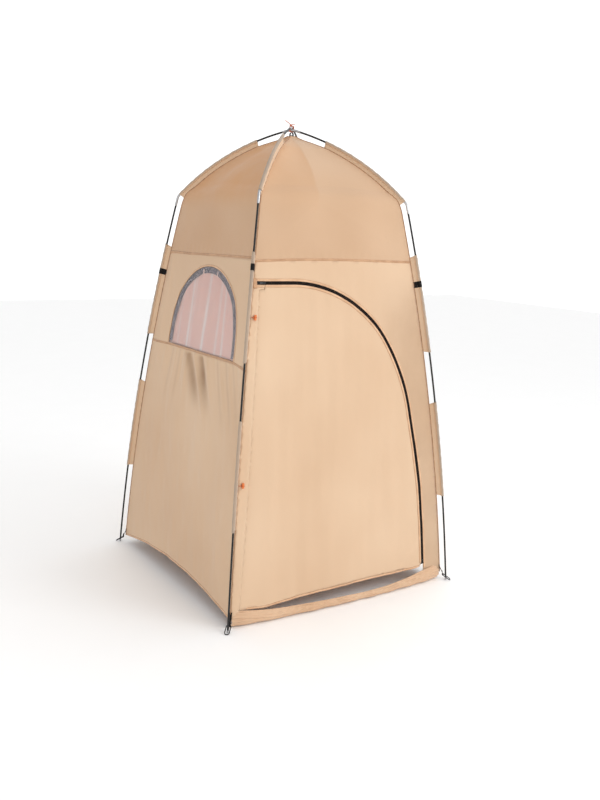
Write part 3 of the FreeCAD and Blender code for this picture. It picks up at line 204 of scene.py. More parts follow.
def new_mesh(name, verts, faces, uv=None, shade=None):
    """A smooth mesh object in the scene. uv is one pair for each vertex."""
    mesh = bpy.data.meshes.new(name)
    mesh.from_pydata([tuple(map(float, v)) for v in verts], [], [tuple(map(int, f)) for f in faces])
    mesh.validate()
    if uv is not None:
        layer = mesh.uv_layers.new(name="UVMap")
        index = np.empty(len(mesh.loops), int)
        mesh.loops.foreach_get("vertex_index", index)
        layer.data.foreach_set("uv", np.asarray(uv, float)[index].ravel())
    if shade is not None:
        layer = mesh.attributes.new("shade", "FLOAT", "POINT")
        layer.data.foreach_set("value", np.asarray(shade, np.float32).ravel())
    obj = bpy.data.objects.new(name, mesh)
    bpy.context.scene.collection.objects.link(obj)
    mesh.polygons.foreach_set("use_smooth", [True] * len(mesh.polygons))
    return obj


def grid_faces(rows, cols, wrap_cols=False, flip=False):
    last = cols if wrap_cols else cols - 1
    i = np.arange(rows - 1)[:, None]
    j = np.arange(last)[None, :]
    a = i * cols + j
    b = i * cols + (j + 1) % cols
    c = (i + 1) * cols + (j + 1) % cols
    d = (i + 1) * cols + j
    order = (a, d, c, b) if flip else (a, b, c, d)
    return np.stack([q.ravel() for q in order], axis=1)


def tube_faces(rows, sides):
    """Faces of a closed tube of rings, with a flat face at each end."""
    faces = [tuple(f) for f in grid_faces(rows, sides, wrap_cols=True)]
    return faces + [tuple(range(sides))[::-1], tuple((rows - 1) * sides + k for k in range(sides))]


def solidify(obj, thickness):
    """Gives a sheet its thickness and applies it. It grows inwards, against the normals."""
    mod = obj.modifiers.new("Thickness", "SOLIDIFY")
    mod.thickness = thickness
    mod.offset = -1.0
    mod.use_even_offset = False
    apply_modifiers(obj)
    return obj


def apply_modifiers(obj):
    graph = bpy.context.evaluated_depsgraph_get()
    bpy.context.view_layer.update()
    made = bpy.data.meshes.new_from_object(obj.evaluated_get(graph))
    obj.modifiers.clear()
    old = obj.data
    obj.data = made
    made.name = obj.name
    bpy.data.meshes.remove(old)


def resample(points, step, closed=False):
    """Evenly spaced points along a polyline of any dimension."""
    p = np.asarray(points, float)
    if closed:
        p = np.vstack([p, p[:1]])
    s = run_along(p)
    count = max(2, int(round(s[-1] / step)) + 1)
    t = np.linspace(0, s[-1], count)
    found = np.stack([np.interp(t, s, p[:, k]) for k in range(p.shape[1])], axis=1)
    return found[:-1] if closed else found


def smooth_path(points, step):
    """A Catmull-Rom curve through the points, evenly resampled."""
    p = np.asarray(points, float)
    p = np.vstack([2 * p[0] - p[1], p, 2 * p[-1] - p[-2]])
    out = []
    for i in range(1, len(p) - 2):
        t = np.linspace(0, 1, 12, endpoint=False)[:, None]
        a, b, c, d = p[i - 1], p[i], p[i + 1], p[i + 2]
        out.append(0.5 * (2 * b + (c - a) * t + (2 * a - 5 * b + 4 * c - d) * t**2
                          + (3 * b - a - 3 * c + d) * t**3))
    out.append(p[-2:-1])
    return resample(np.vstack(out), step)


def inside_polygon(px, pz, poly):
    """Even-odd test for arrays of points."""
    inside = np.zeros(px.shape, bool)
    n = len(poly)
    for i in range(n):
        x1, z1 = poly[i]
        x2, z2 = poly[(i + 1) % n]
        crosses = (z1 > pz) != (z2 > pz)
        with np.errstate(divide="ignore", invalid="ignore"):
            at = (x2 - x1) * (pz - z1) / (z2 - z1) + x1
        inside ^= crosses & (px < at)
    return inside


def fill(outline, holes, step_x, step_z, edge_step=0.010):
    """Triangles that fill a flat outline with holes, with an even net of points inside."""
    rims = [resample(ring, edge_step, closed=True) for ring in [outline, *holes]]
    rim = np.vstack(rims)
    low, high = rims[0].min(axis=0), rims[0].max(axis=0)
    xs = np.arange(low[0] + step_x / 2, high[0], step_x)
    zs = np.arange(low[1] + step_z / 2, high[1], step_z)
    gx, gz = np.meshgrid(xs, zs)
    gx = gx + (np.arange(len(zs)) % 2)[:, None] * step_x / 2
    gx, gz = gx.ravel(), gz.ravel()
    keep = inside_polygon(gx, gz, rims[0])
    for hole in rims[1:]:
        keep &= ~inside_polygon(gx, gz, hole)
    gx, gz = gx[keep], gz[keep]
    near = np.full(len(gx), 9.0)
    for i in range(0, len(rim), 64):
        part = rim[i:i + 64]
        gap = np.hypot(gx[:, None] - part[None, :, 0], gz[:, None] - part[None, :, 1]).min(axis=1)
        near = np.minimum(near, gap)
    keep = near > 0.55 * min(step_x, edge_step)
    points = [Vector(p) for p in rim] + [Vector(p) for p in zip(gx[keep], gz[keep])]
    edges = []
    start = 0
    for ring in rims:
        count = len(ring)
        edges += [(start + k, start + (k + 1) % count) for k in range(count)]
        start += count
    found = delaunay_2d_cdt(points, edges, [], 0, 1e-7)
    verts = np.array([tuple(v) for v in found[0]])
    faces = np.array([f for f in found[2] if len(f) == 3])
    middle = verts[faces].mean(axis=1)
    keep = inside_polygon(middle[:, 0], middle[:, 1], rims[0])
    for hole in rims[1:]:
        keep &= ~inside_polygon(middle[:, 0], middle[:, 1], hole)
    faces = faces[keep]
    a, b, c = (verts[faces[:, k]] for k in range(3))
    area = (b[:, 0] - a[:, 0]) * (c[:, 1] - a[:, 1]) - (b[:, 1] - a[:, 1]) * (c[:, 0] - a[:, 0])
    faces[area < 0] = faces[area < 0][:, ::-1]
    faces = faces[np.abs(area) > 1e-12]
    return verts, faces


def wall_patch(name, side, outline, holes=(), step=(0.011, 0.016), proud=0.0, extra=None,
               thickness=CLOTH):
    """A piece of a wall's cloth cut to an outline."""
    flat, faces = fill(outline, list(holes), *step)
    x, z = flat[:, 0], flat[:, 1]
    out = wall_out(z) + push(side, x, z) + proud
    if extra is not None:
        out = out + extra(x, z)
    obj = new_mesh(name, put(side, x, out, z), faces, uv=flat)
    return solidify(obj, thickness)


def tint(obj, rule):
    """Stores a painted light level at each vertex for its material: painted shade on most cloth, a
    painted highlight on the flap.
    """
    spots = np.empty(len(obj.data.vertices) * 3)
    obj.data.vertices.foreach_get("co", spots)
    layer = obj.data.attributes.new("shade", "FLOAT", "POINT")
    layer.data.foreach_set("value", rule(spots.reshape(-1, 3)).astype(np.float32))


def tube(name, points, radius, sides=12, step=0.003, taper=None, closed=False):
    """A round cord or bar that follows a curve through the points."""
    p = resample(points, step, closed) if closed else smooth_path(points, step)
    n = len(p)
    ahead = unit(np.roll(p, -1, axis=0) - np.roll(p, 1, axis=0) if closed
                 else np.gradient(p, axis=0))
    normal = np.cross(ahead[0], [0.31, 0.53, 0.79])
    normals = []
    for t in ahead:
        normal = normal - t * np.dot(normal, t)
        normal = normal / np.linalg.norm(normal)
        normals.append(normal)
    normals = np.array(normals)
    other = np.cross(ahead, normals)
    length = run_along(p)
    size = np.full(n, radius) if taper is None else radius * np.interp(length / length[-1], *taper)
    turn = np.linspace(0, 2 * math.pi, sides, endpoint=False)
    cos, sin = np.cos(turn)[None, :, None], np.sin(turn)[None, :, None]
    ring = p[:, None, :] + size[:, None, None] * (
        cos * normals[:, None, :] + sin * other[:, None, :])
    verts = ring.reshape(-1, 3)
    faces = [tuple(f) for f in grid_faces(n, sides, wrap_cols=True, flip=True)]
    uv = np.stack([np.tile(turn * radius, n), np.repeat(length, sides)], axis=1)
    if closed:
        last = (n - 1) * sides
        faces += [(last + j, j, (j + 1) % sides, last + (j + 1) % sides) for j in range(sides)]
        return new_mesh(name, verts, faces, uv=uv)
    ends = np.vstack([p[0] - ahead[0] * size[0] * 0.45, p[-1] + ahead[-1] * size[-1] * 0.45])
    verts = np.vstack([verts, ends])
    first, final = n * sides, n * sides + 1
    faces += [(first, (j + 1) % sides, j) for j in range(sides)]
    faces += [(final, (n - 1) * sides + j, (n - 1) * sides + (j + 1) % sides) for j in range(sides)]
    uv = np.vstack([uv, [[0, 0], [0, length[-1]]]])
    obj = new_mesh(name, verts, faces, uv=uv)
    fix_normals(obj)
    return obj


def fix_normals(obj):
    bm = bmesh.new()
    bm.from_mesh(obj.data)
    bmesh.ops.recalc_face_normals(bm, faces=bm.faces)
    bm.to_mesh(obj.data)
    bm.free()


def join(name, parts):
    """Several meshes as one object, keeping their UV map, shade and material slots."""
    bpy.ops.object.select_all(action="DESELECT")
    for part in parts:
        part.select_set(True)
    bpy.context.view_layer.objects.active = parts[0]
    bpy.ops.object.join()
    obj = bpy.context.view_layer.objects.active
    obj.name = name
    obj.data.name = name
    return obj


def band(name, centre, across, lift, width, height, columns=7, square=2.0, rim=0.0004):
    """A closed strip along a path: its centre, and unit vectors across it and off the cloth."""
    centre, across, lift = (np.asarray(q, float) for q in (centre, across, lift))
    t = np.linspace(-1, 1, columns)
    rise = height * (1 - np.abs(t) ** (2 * square))
    top = (centre[:, None, :] + across[:, None, :] * (t * width / 2)[None, :, None]
           + lift[:, None, :] * (rise + rim)[None, :, None])
    low = (centre[:, None, :] + across[:, None, :] * (t * width / 2)[None, :, None]
           - lift[:, None, :] * rim)
    ring = np.concatenate([top, low[:, ::-1, :]], axis=1)
    n, sides = ring.shape[:2]
    sides_u = np.concatenate([t, t[::-1]]) * width / 2
    uv = np.stack([np.tile(sides_u, n), np.repeat(run_along(centre), sides)], axis=1)
    obj = new_mesh(name, ring.reshape(-1, 3), tube_faces(n, sides), uv=uv)
    fix_normals(obj)
    return obj


def wall_normal(side, x, z):
    """The outward unit vector of the cloth, from its own surface."""
    step = 0.002
    du = on_wall(side, x + step, z) - on_wall(side, x - step, z)
    dv = on_wall(side, x, z + step) - on_wall(side, x, z - step)
    return unit(np.cross(du, dv))


def wall_band(name, side, path, width, height, step=0.007, proud=0.0, shift=0.0, **options):
    """A strip laid on a wall along a path of (x, z) points."""
    p = resample(path, step)
    ahead = unit(np.gradient(p, axis=0))
    flat_across = np.stack([-ahead[:, 1], ahead[:, 0]], axis=1)
    p = p + flat_across * shift
    centre = on_wall(side, p[:, 0], p[:, 1], proud)
    normal = wall_normal(side, p[:, 0], p[:, 1])
    eps = 0.002
    across = (on_wall(side, p[:, 0] + flat_across[:, 0] * eps, p[:, 1] + flat_across[:, 1] * eps)
              - on_wall(side, p[:, 0] - flat_across[:, 0] * eps, p[:, 1] - flat_across[:, 1] * eps))
    return band(name, centre, unit(across), normal, width, height, **options)


# ---------------------------------------------------------------------------
# Materials
# ---------------------------------------------------------------------------


class Shader:
    """Small node helper for one procedural material."""

    def __init__(self, name):
        self.material = bpy.data.materials.new(name)
        self.material.use_nodes = True
        self.tree = self.material.node_tree
        self.tree.nodes.clear()
        self.output = self.add("ShaderNodeOutputMaterial")

    def add(self, kind, inputs=None, **settings):
        made = self.tree.nodes.new(kind)
        for key, value in settings.items():
            setattr(made, key, value)
        for key, value in (inputs or {}).items():
            self.feed(made, key, value)
        return made

    def feed(self, node, key, value):
        if isinstance(value, bpy.types.NodeSocket):
            self.tree.links.new(value, node.inputs[key])
        elif isinstance(value, bpy.types.Node):
            self.tree.links.new(value.outputs[0], node.inputs[key])
        else:
            node.inputs[key].default_value = value

    def math(self, operation, a, b=None, clamp=False):
        made = self.add("ShaderNodeMath", {0: a}, operation=operation, use_clamp=clamp)
        if b is not None:
            self.feed(made, 1, b)
        return made.outputs[0]

    def ramp(self, value, low, high, low_to=0.0, high_to=1.0):
        made = self.add("ShaderNodeMapRange", {
            "Value": value, "From Min": low, "From Max": high, "To Min": low_to, "To Max": high_to})
        return made.outputs[0]

    def mix(self, factor, a, b):
        made = self.add("ShaderNodeMix", data_type="RGBA")
        self.feed(made, 0, factor)
        self.feed(made, 6, a)
        self.feed(made, 7, b)
        return made.outputs[2]

    def noise(self, coords, scale, detail=3.0, roughness=0.5):
        made = self.add("ShaderNodeTexNoise", {
            "Vector": coords, "Scale": scale, "Detail": detail, "Roughness": roughness})
        return made.outputs["Fac"]

    def drawn(self, coords, scale, *settings):
        """Noise that is stretched by a different scale along each axis."""
        return self.noise(self.add("ShaderNodeMapping", {0: coords, "Scale": scale}), *settings)

    def place(self):
        return self.add("ShaderNodeTexCoord").outputs["Object"]

    def coords(self):
        """The UV map, the place on the object, and the UV's two parts."""
        uv = self.add("ShaderNodeUVMap", uv_map="UVMap").outputs[0]
        place = self.place()
        u, v, _ = self.add("ShaderNodeSeparateXYZ", {0: uv}).outputs
        return uv, place, u, v

    def skin(self, tone, roughness, normal=None, extra=None):
        """The main surface, with any further inputs by name."""
        inputs = {"Base Color": tone, "Roughness": roughness, **(extra or {})}
        if normal is not None:
            inputs["Normal"] = normal
        return self.add("ShaderNodeBsdfPrincipled", inputs)

    def wave(self, value, pitch, phase=0.0):
        """A sine of the value, 0 to 1, with one period for each pitch."""
        turned = self.math("MULTIPLY_ADD", value, 2 * math.pi / pitch)
        self.feed(turned.node, 2, phase)
        return self.ramp(self.math("SINE", turned), -1.0, 1.0)

    def bump(self, height, distance, strength=1.0, under=None):
        made = self.add("ShaderNodeBump", {
            "Height": height, "Distance": distance, "Strength": strength})
        if under is not None:
            self.feed(made, "Normal", under)
        return made.outputs[0]

    def finish(self, surface):
        self.feed(self.output, "Surface", surface)
        return self.material


def linear(red, green, blue):
    """An sRGB colour of 0 to 255 as linear RGBA."""
    def one(v):
        v = v / 255
        return v / 12.92 if v <= 0.04045 else ((v + 0.055) / 1.055) ** 2.4
    return (one(red), one(green), one(blue), 1.0)


def cloth_material(name, colour, dark, translucent=0.16, pitch=0.0011, crumple=0.0016,
                   shade=(0.30, 0.22, 0.17, 1.0)):
    """Light plain-weave polyester: fine weave, faint slubs, soft crumple and some light through."""
    s = Shader(name)
    uv, place, u, v = s.coords()
    warp = s.wave(u, pitch)
    weft = s.wave(v, pitch * 1.07)
    over = s.math("MULTIPLY", warp, weft)
    slubs = s.math("ADD", s.drawn(uv, (900.0, 40.0, 1.0), 1.0, 2.0),
                   s.drawn(uv, (40.0, 900.0, 1.0), 1.0, 2.0))
    threads = s.math("ADD", s.math("MULTIPLY", over, 0.6), s.math("MULTIPLY", slubs, 0.5))
    soft = s.noise(place, 6.5, 4.0, 0.55)
    broad = s.noise(place, 1.7, 2.0)
    tone = s.mix(s.ramp(broad, 0.30, 0.72), dark, colour)
    tone = s.mix(s.ramp(threads, 0.2, 1.4, 0.0, 0.16), tone, dark)
    # painted shade and painted highlight: the 'shade' level stored on the vertices mixes the tone
    # towards the shade colour
    painted_light = s.add("ShaderNodeAttribute", attribute_name="shade").outputs["Fac"]
    tone = s.mix(s.math("MULTIPLY", painted_light, s.ramp(soft, 0.3, 0.7, 0.5, 0.75)), tone, shade)
    normal = s.bump(soft, crumple, 0.55)
    fine = s.drawn(place, (1.0, 1.0, 0.45), 34.0, 3.0, 0.6)
    normal = s.bump(fine, 0.0005, 0.5, normal)
    normal = s.bump(threads, 0.00012, 0.6, normal)
    skin = s.skin(tone, s.ramp(soft, 0.3, 0.7, 0.62, 0.78), normal, {
        "Sheen Weight": 0.25, "Sheen Roughness": 0.45, "Specular IOR Level": 0.28})
    through = s.add("ShaderNodeBsdfTranslucent", {"Color": tone, "Normal": normal})
    blend = s.add("ShaderNodeMixShader", {0: translucent, 1: skin, 2: through})
    return s.finish(blend.outputs[0])


def seam_material(name, colour, dark, thread, rows=(0.0025,), stitch=0.0032, duty=0.62):
    """Folded cloth with rows of lock stitches along it. UV x is across the strip, y along it."""
    s = Shader(name)
    _, place, u, v = s.coords()
    lines = None
    for row in rows:
        gap = s.math("ABSOLUTE", s.math("SUBTRACT", s.math("ABSOLUTE", u), row))
        line = s.math("SUBTRACT", 1.0, s.ramp(gap, 0.0003, 0.0007))
        lines = line if lines is None else s.math("MAXIMUM", lines, line)
    dash = s.ramp(s.wave(v, stitch), 1 - duty - 0.1, 1 - duty + 0.1)
    stitches = s.math("MULTIPLY", lines, dash, clamp=True)
    broad = s.noise(place, 22.0, 3.0)
    weave = s.math("MULTIPLY", s.wave(u, 0.0011), s.wave(v, 0.0011))
    tone = s.mix(s.ramp(broad, 0.35, 0.65), dark, colour)
    tone = s.mix(stitches, tone, thread)
    pucker = s.math("MULTIPLY", s.wave(v, stitch * 2.0), s.noise(place, 60.0, 2.0))
    normal = s.bump(pucker, 0.0008, 0.7)
    normal = s.bump(stitches, 0.0005, 0.9, normal)
    normal = s.bump(weave, 0.00012, 0.6, normal)
    return s.finish(s.skin(tone, s.ramp(broad, 0.3, 0.7, 0.66, 0.8), normal, {
        "Sheen Weight": 0.2, "Specular IOR Level": 0.25}))


def webbing_material(name, colour, light, pitch=0.0019):
    """Woven tape: a herringbone of thick yarns across and along the strip."""
    s = Shader(name)
    _, place, u, v = s.coords()
    zig = s.math("PINGPONG", u, pitch * 2)
    slant = s.wave(s.math("ADD", v, zig), pitch)
    cords = s.wave(u, pitch * 0.9)
    weave = s.math("MULTIPLY", slant, s.ramp(cords, 0.0, 1.0, 0.45, 1.0))
    fuzz = s.noise(place, 900.0, 2.0)
    tone = s.mix(s.ramp(weave, 0.1, 0.9), colour, light)
    normal = s.bump(weave, 0.00045, 0.9)
    normal = s.bump(fuzz, 0.0001, 0.5, normal)
    return s.finish(s.skin(tone, s.ramp(fuzz, 0.3, 0.7, 0.6, 0.8), normal,
                           {"Specular IOR Level": 0.14}))


def cord_material(name, colour, dark, pitch=0.0022):
    """Braided cord: two crossing spirals of yarn."""
    s = Shader(name)
    _, place, u, v = s.coords()
    one = s.wave(s.math("ADD", v, u), pitch)
    two = s.wave(s.math("SUBTRACT", v, u), pitch)
    braid = s.math("MAXIMUM", one, two)
    fuzz = s.noise(place, 700.0, 2.0)
    tone = s.mix(s.ramp(s.math("MULTIPLY", one, two), 0.0, 0.8), colour, dark)
    tone = s.mix(s.ramp(fuzz, 0.3, 0.7, 0.0, 0.25), tone, dark)
    normal = s.bump(braid, 0.0004, 0.8)
    return s.finish(s.skin(tone, s.ramp(fuzz, 0.3, 0.7, 0.55, 0.75), normal,
                           {"Sheen Weight": 0.25}))


def fibreglass_material():
    """Dark wound fibreglass rod: faint wrap lines, glassy coat and small scuffs."""
    s = Shader("fibreglass")
    place = s.place()
    streak = s.drawn(place, (420.0, 420.0, 9.0), 1.0, 4.0)
    scuff = s.noise(place, 130.0, 5.0, 0.7)
    tone = s.mix(s.ramp(streak, 0.35, 0.7), (0.006, 0.006, 0.006, 1), (0.028, 0.027, 0.027, 1))
    tone = s.mix(s.ramp(scuff, 0.62, 0.75, 0.0, 0.3), tone, (0.10, 0.097, 0.095, 1))
    normal = s.bump(streak, 0.00015, 0.6)
    return s.finish(s.skin(tone, s.ramp(scuff, 0.3, 0.75, 0.24, 0.5), normal, {
        "Specular IOR Level": 0.24, "Coat Weight": 0.06, "Coat Roughness": 0.2}))


def metal_material(name, colour, dark, rough=0.28):
    """Drawn metal: fine lines along the tube, light tarnish and small dents in the gloss."""
    s = Shader(name)
    place = s.place()
    lines = s.drawn(place, (650.0, 650.0, 40.0), 1.0, 3.0)
    stain = s.noise(place, 75.0, 4.0, 0.6)
    tone = s.mix(s.ramp(stain, 0.3, 0.75), colour, dark)
    tone = s.mix(s.ramp(lines, 0.4, 0.8, 0.0, 0.5), tone, dark)
    normal = s.bump(lines, 0.00008, 0.6)
    return s.finish(s.skin(tone, s.ramp(stain, 0.25, 0.8, rough, rough + 0.22), normal,
                           {"Metallic": 0.9}))


def plastic_material(name, colour, light):
    """Moulded plastic: a fine grain and worn, paler patches."""
    s = Shader(name)
    place = s.place()
    grain = s.noise(place, 1100.0, 2.0)
    wear = s.noise(place, 90.0, 4.0, 0.65)
    tone = s.mix(s.ramp(wear, 0.45, 0.8, 0.0, 0.7), colour, light)
    normal = s.bump(grain, 0.00006, 0.6)
    return s.finish(s.skin(tone, s.ramp(wear, 0.3, 0.8, 0.42, 0.62), normal))


def mesh_material():
    """Fine no-see-um netting: thin threads with open holes between them."""
    s = Shader("window_netting")
    _, place, u, v = s.coords()
    one = s.wave(u, 0.0014)
    two = s.wave(v, 0.0014)
    threads = s.math("MAXIMUM", one, two)
    cover = s.ramp(threads, 0.97, 0.995)
    broad = s.noise(place, 14.0, 3.0)
    tone = s.mix(s.ramp(broad, 0.3, 0.7), linear(248, 238, 236), linear(236, 226, 226))
    normal = s.bump(threads, 0.0003, 0.7)
    skin = s.skin(tone, s.ramp(broad, 0.3, 0.7, 0.5, 0.65), normal)
    hole = s.add("ShaderNodeBsdfTransparent")
    mixed = s.add("ShaderNodeMixShader", {0: cover, 1: hole, 2: skin})
    return s.finish(mixed.outputs[0])


TAN = linear(233, 203, 171)
TAN_DARK = linear(223, 189, 155)
BLACK = (0.004, 0.0038, 0.004, 1)
MATS = {
    # the wall cloth's shade colour is the tone of its painted shade under the window and right of
    # the door
    "cloth": cloth_material("tent_cloth", TAN, TAN_DARK, shade=linear(150, 112, 82)),
    # the canopy is the walls' cloth; its darker tone is painted shade, and its shade colour is the
    # tone of the painted shade on its left side
    "roof": cloth_material("canopy_cloth", linear(221, 187, 154), linear(210, 173, 139),
                           shade=linear(222, 156, 88)),
    # the sleeve's grey shade colour is painted shade where the cloth lies on the dark pole
    "sleeve": cloth_material("sleeve_cloth", TAN, TAN_DARK, shade=linear(150, 140, 132)),
    "sill": cloth_material("sill_cloth", linear(232, 199, 167), linear(214, 174, 138), 0.12,
                           crumple=0.003),
    # the flap's white shade colour makes painted highlights along its pleats
    "flap": cloth_material(
        "flap_cloth", linear(254, 220, 207), linear(248, 209, 195), 0.42, crumple=0.002,
        shade=(1.0, 1.0, 1.0, 1.0)),
    "seam": seam_material(
        "seam", linear(204, 162, 126), linear(186, 144, 110), linear(140, 98, 70)),
    "binding": seam_material(
        "binding", linear(222, 182, 146), linear(206, 164, 128), linear(140, 92, 60),
        rows=(0.0041,)),
    "piping": seam_material(
        "piping", linear(178, 134, 100), linear(156, 112, 80), linear(120, 78, 50), rows=(0.0,)),
    "zip": webbing_material("zip_tape", BLACK, (0.017, 0.016, 0.016, 1), 0.0011),
    "webbing": webbing_material("black_webbing", BLACK, (0.022, 0.021, 0.021, 1)),
    "closing": webbing_material("closing_band", linear(34, 36, 52), linear(84, 86, 106), 0.0026),
    "orange": cord_material("orange_cord", linear(222, 112, 48), linear(160, 60, 18)),
    "toggle": plastic_material("toggle_barrel", linear(226, 122, 62), linear(240, 165, 110)),
    "elastic": cord_material("elastic_cord", linear(60, 60, 62), linear(25, 25, 26)),
    "fibreglass": fibreglass_material(),
    "silver": metal_material("silver_tube", (0.60, 0.60, 0.61, 1), (0.36, 0.36, 0.37, 1)),
    "dark": metal_material("dark_metal", (0.045, 0.045, 0.048, 1), (0.012, 0.012, 0.013, 1), 0.35),
    "slider": metal_material("slider_metal", (0.05, 0.05, 0.052, 1), (0.015, 0.015, 0.016, 1), 0.3),
    "net": mesh_material(),
}


def paint(obj, key):
    obj.data.materials.clear()
    obj.data.materials.append(MATS[key])
    return obj


def settle(obj, key, body=ROOT, nodes=()):
    """Material, slot, body and the CAD nodes that a piece stands for."""
    if key is not None:
        paint(obj, key)
    if body is not None:
        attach(obj, body)
    if nodes:
        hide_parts(*nodes)
    return obj


# ---------------------------------------------------------------------------
# The pole line of one corner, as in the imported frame
# ---------------------------------------------------------------------------


def pole_arcs(over):
    """Centre, radius and start and end angles of the roof and leg arcs, in (out, up)."""
    r, z, phi = 0.0, 2.1025 if over else 2.091, 0.0
    found = {}
    leg_turn = 9.0085 if over else 8.9495
    for name, size, turn in (("apex", 0.090, 16.0), ("arm", 0.018, 0), ("roof", 1.129, 28.0),
                             ("arm", 0.0366, 0), ("elbow", 0.030, 32.0), ("arm", 0.0366, 0),
                             ("leg", 11.195, leg_turn)):
        if name == "arm":
            r += size * math.cos(phi)
            z -= size * math.sin(phi)
            continue
        centre = (r - size * math.sin(phi), z - size * math.cos(phi))
        end = phi + math.radians(turn)
        found[name] = (centre, size, phi, end)
        phi = end
        r = centre[0] + size * math.sin(phi)
        z = centre[1] + size * math.cos(phi)
    found["foot"] = (r, z, phi)
    return found


def corner_frame(corner):
    bearing = math.radians(CORNERS[corner])
    out = np.array([math.cos(bearing), math.sin(bearing), 0.0])
    up = np.array([0.0, 0.0, 1.0])
    return out, up, np.cross(up, out)


def in_corner(corner, r, z, side=0.0):
    out, up, across = corner_frame(corner)
    r, z, side = np.broadcast_arrays(*(np.asarray(q, float) for q in (r, z, side)))
    return r[..., None] * out + z[..., None] * up + side[..., None] * across


def corner_edge(z):
    """Distance of the walls' mitred corner from the centre, along the diagonal."""
    return wall_out(z) * math.sqrt(2)


# ---------------------------------------------------------------------------
# Canopy: one sheet over the top of all four sides
# ---------------------------------------------------------------------------

ROOF_RADIUS, ROOF_IN, ROOF_UP = 0.7908, 0.2988, 1.3396
APEX_OUT, APEX_UP = 0.0085, 2.0668


def roof_out(z):
    return np.sqrt(ROOF_RADIUS**2 - (z - ROOF_UP) ** 2) - ROOF_IN


def canopy_profile():
    """(out, up) from the upper seam over the shoulder to the apex."""
    wall_z = np.linspace(SEAM_UPPER + 0.0004, 1.742, 16)
    points = [(float(wall_out(z)), z) for z in wall_z]
    points += [(0.3655, 1.770), (0.3575, 1.7905), (0.3440, 1.8080)]
    for z in np.linspace(1.828, 2.012, 15):
        points.append((float(roof_out(z)), z))
    points += [(0.0714, 2.0335), (0.0330, 2.0500), (APEX_OUT, APEX_UP)]
    return smooth_path(points, 0.004)


PROFILE = canopy_profile()
PROFILE_S = run_along(PROFILE)


def barycentric(px, pz, a, b, c):
    det = (b[0] - a[0]) * (c[1] - a[1]) - (c[0] - a[0]) * (b[1] - a[1])
    v = ((px - a[0]) * (c[1] - a[1]) - (c[0] - a[0]) * (pz - a[1])) / det
    w = ((b[0] - a[0]) * (pz - a[1]) - (px - a[0]) * (b[1] - a[1])) / det
    return 1 - v - w, v, w


PEAKS = {"front": (-0.081, 1.776), "left": (-0.06, 1.80), "back": (-0.05, 1.84),
         "right": (0.06, 1.80)}
PEAK_RISE = {"front": 0.017, "left": 0.005, "back": 0.012, "right": 0.010}


def canopy_push(side, x, s, half):
    """Folds of one gore. x is across it, s the distance up its profile from the seam."""
    total_s = PROFILE_S[-1]
    seed = {"front": 5, "left": 13, "back": 29, "right": 41}[side]
    near = np.where(half > 1e-6, 1 - np.abs(x) / np.maximum(half, 1e-6), 0)
    side_fade = ease(near, 0.0, 0.30)
    ends = ease(s, 0.0, 0.07) * (1 - ease(s, total_s - 0.10, total_s - 0.01))
    push_out = 0.0035 * ripple(x, s, seed, 6, 0.25, 0.60, 0.9) * side_fade * ends
    # a soft ridge from the apex down to a point above the middle, like a pulled facet
    at_x, at_z = PEAKS[side]
    shoulder_s = np.interp(1.79, PROFILE[:, 1], PROFILE_S)
    peak = (at_x, np.interp(at_z, PROFILE[:, 1], PROFILE_S))
    apex, left, right = (0.0, total_s), (-0.36, shoulder_s), (0.36, shoulder_s)
    low_left, low_right = (-0.42, 0.0), (0.42, 0.0)
    hat = np.zeros(np.shape(x))
    for a, b in ((apex, left), (apex, right), (left, low_left), (right, low_right),
                 (low_left, low_right)):
        top, v, w = barycentric(x, s, peak, a, b)
        inside = (top >= -1e-9) & (v >= -1e-9) & (w >= -1e-9)
        hat = np.where(inside, np.maximum(hat, top), hat)
        if (a, b) == (apex, left):
            hollow = np.where(inside, 27 * top * v * w, 0.0)
    push_out = push_out + PEAK_RISE[side] * (hat**1.15 - 0.40 * hollow)
    # the cloth between two poles pulls in a little below the apex
    waist = hump(s, total_s - 0.16, 0.20) * ease(near, 0.0, 0.8)
    push_out = push_out - 0.010 * waist
    # short creases that run down from the sleeves' ends and from the apex
    for k in range(5):
        sign = -1 if k % 2 == 0 else 1
        start = total_s - 0.10 - 0.035 * k
        slope = (s - start) + sign * 0.55 * (x - sign * half * 0.9)
        reach = hump(near, 0.16, 0.20)
        push_out = push_out + 0.0016 * np.exp(-(slope / 0.007) ** 2) * reach * (sign * x > 0)
    pucker = 0.0008 * np.sin(x * 2 * math.pi / 0.043 + seed) * hump(s, 0.018, 0.03)
    return push_out + pucker


def gore_grid(side, rows, cols):
    """Rows from the seam to the apex, columns across from corner to corner."""
    s = np.linspace(0, PROFILE_S[-1], rows)
    out = np.interp(s, PROFILE_S, PROFILE[:, 0])
    up = np.interp(s, PROFILE_S, PROFILE[:, 1])
    t = np.linspace(-1, 1, cols)
    x = out[:, None] * t[None, :]
    ds = np.gradient(s)
    normal_out = np.gradient(up) / ds
    normal_up = -np.gradient(out) / ds
    lift = canopy_push(side, x, np.broadcast_to(s[:, None], x.shape), out[:, None] + 0 * x)
    lift[:, 0] = lift[:, -1] = 0
    o = out[:, None] + lift * normal_out[:, None]
    u = up[:, None] + lift * normal_up[:, None]
    points = put(side, x, o, u + 0 * x)
    uv = np.stack([x, np.broadcast_to(s[:, None] + SEAM_UPPER, x.shape)], axis=-1)
    return points, uv


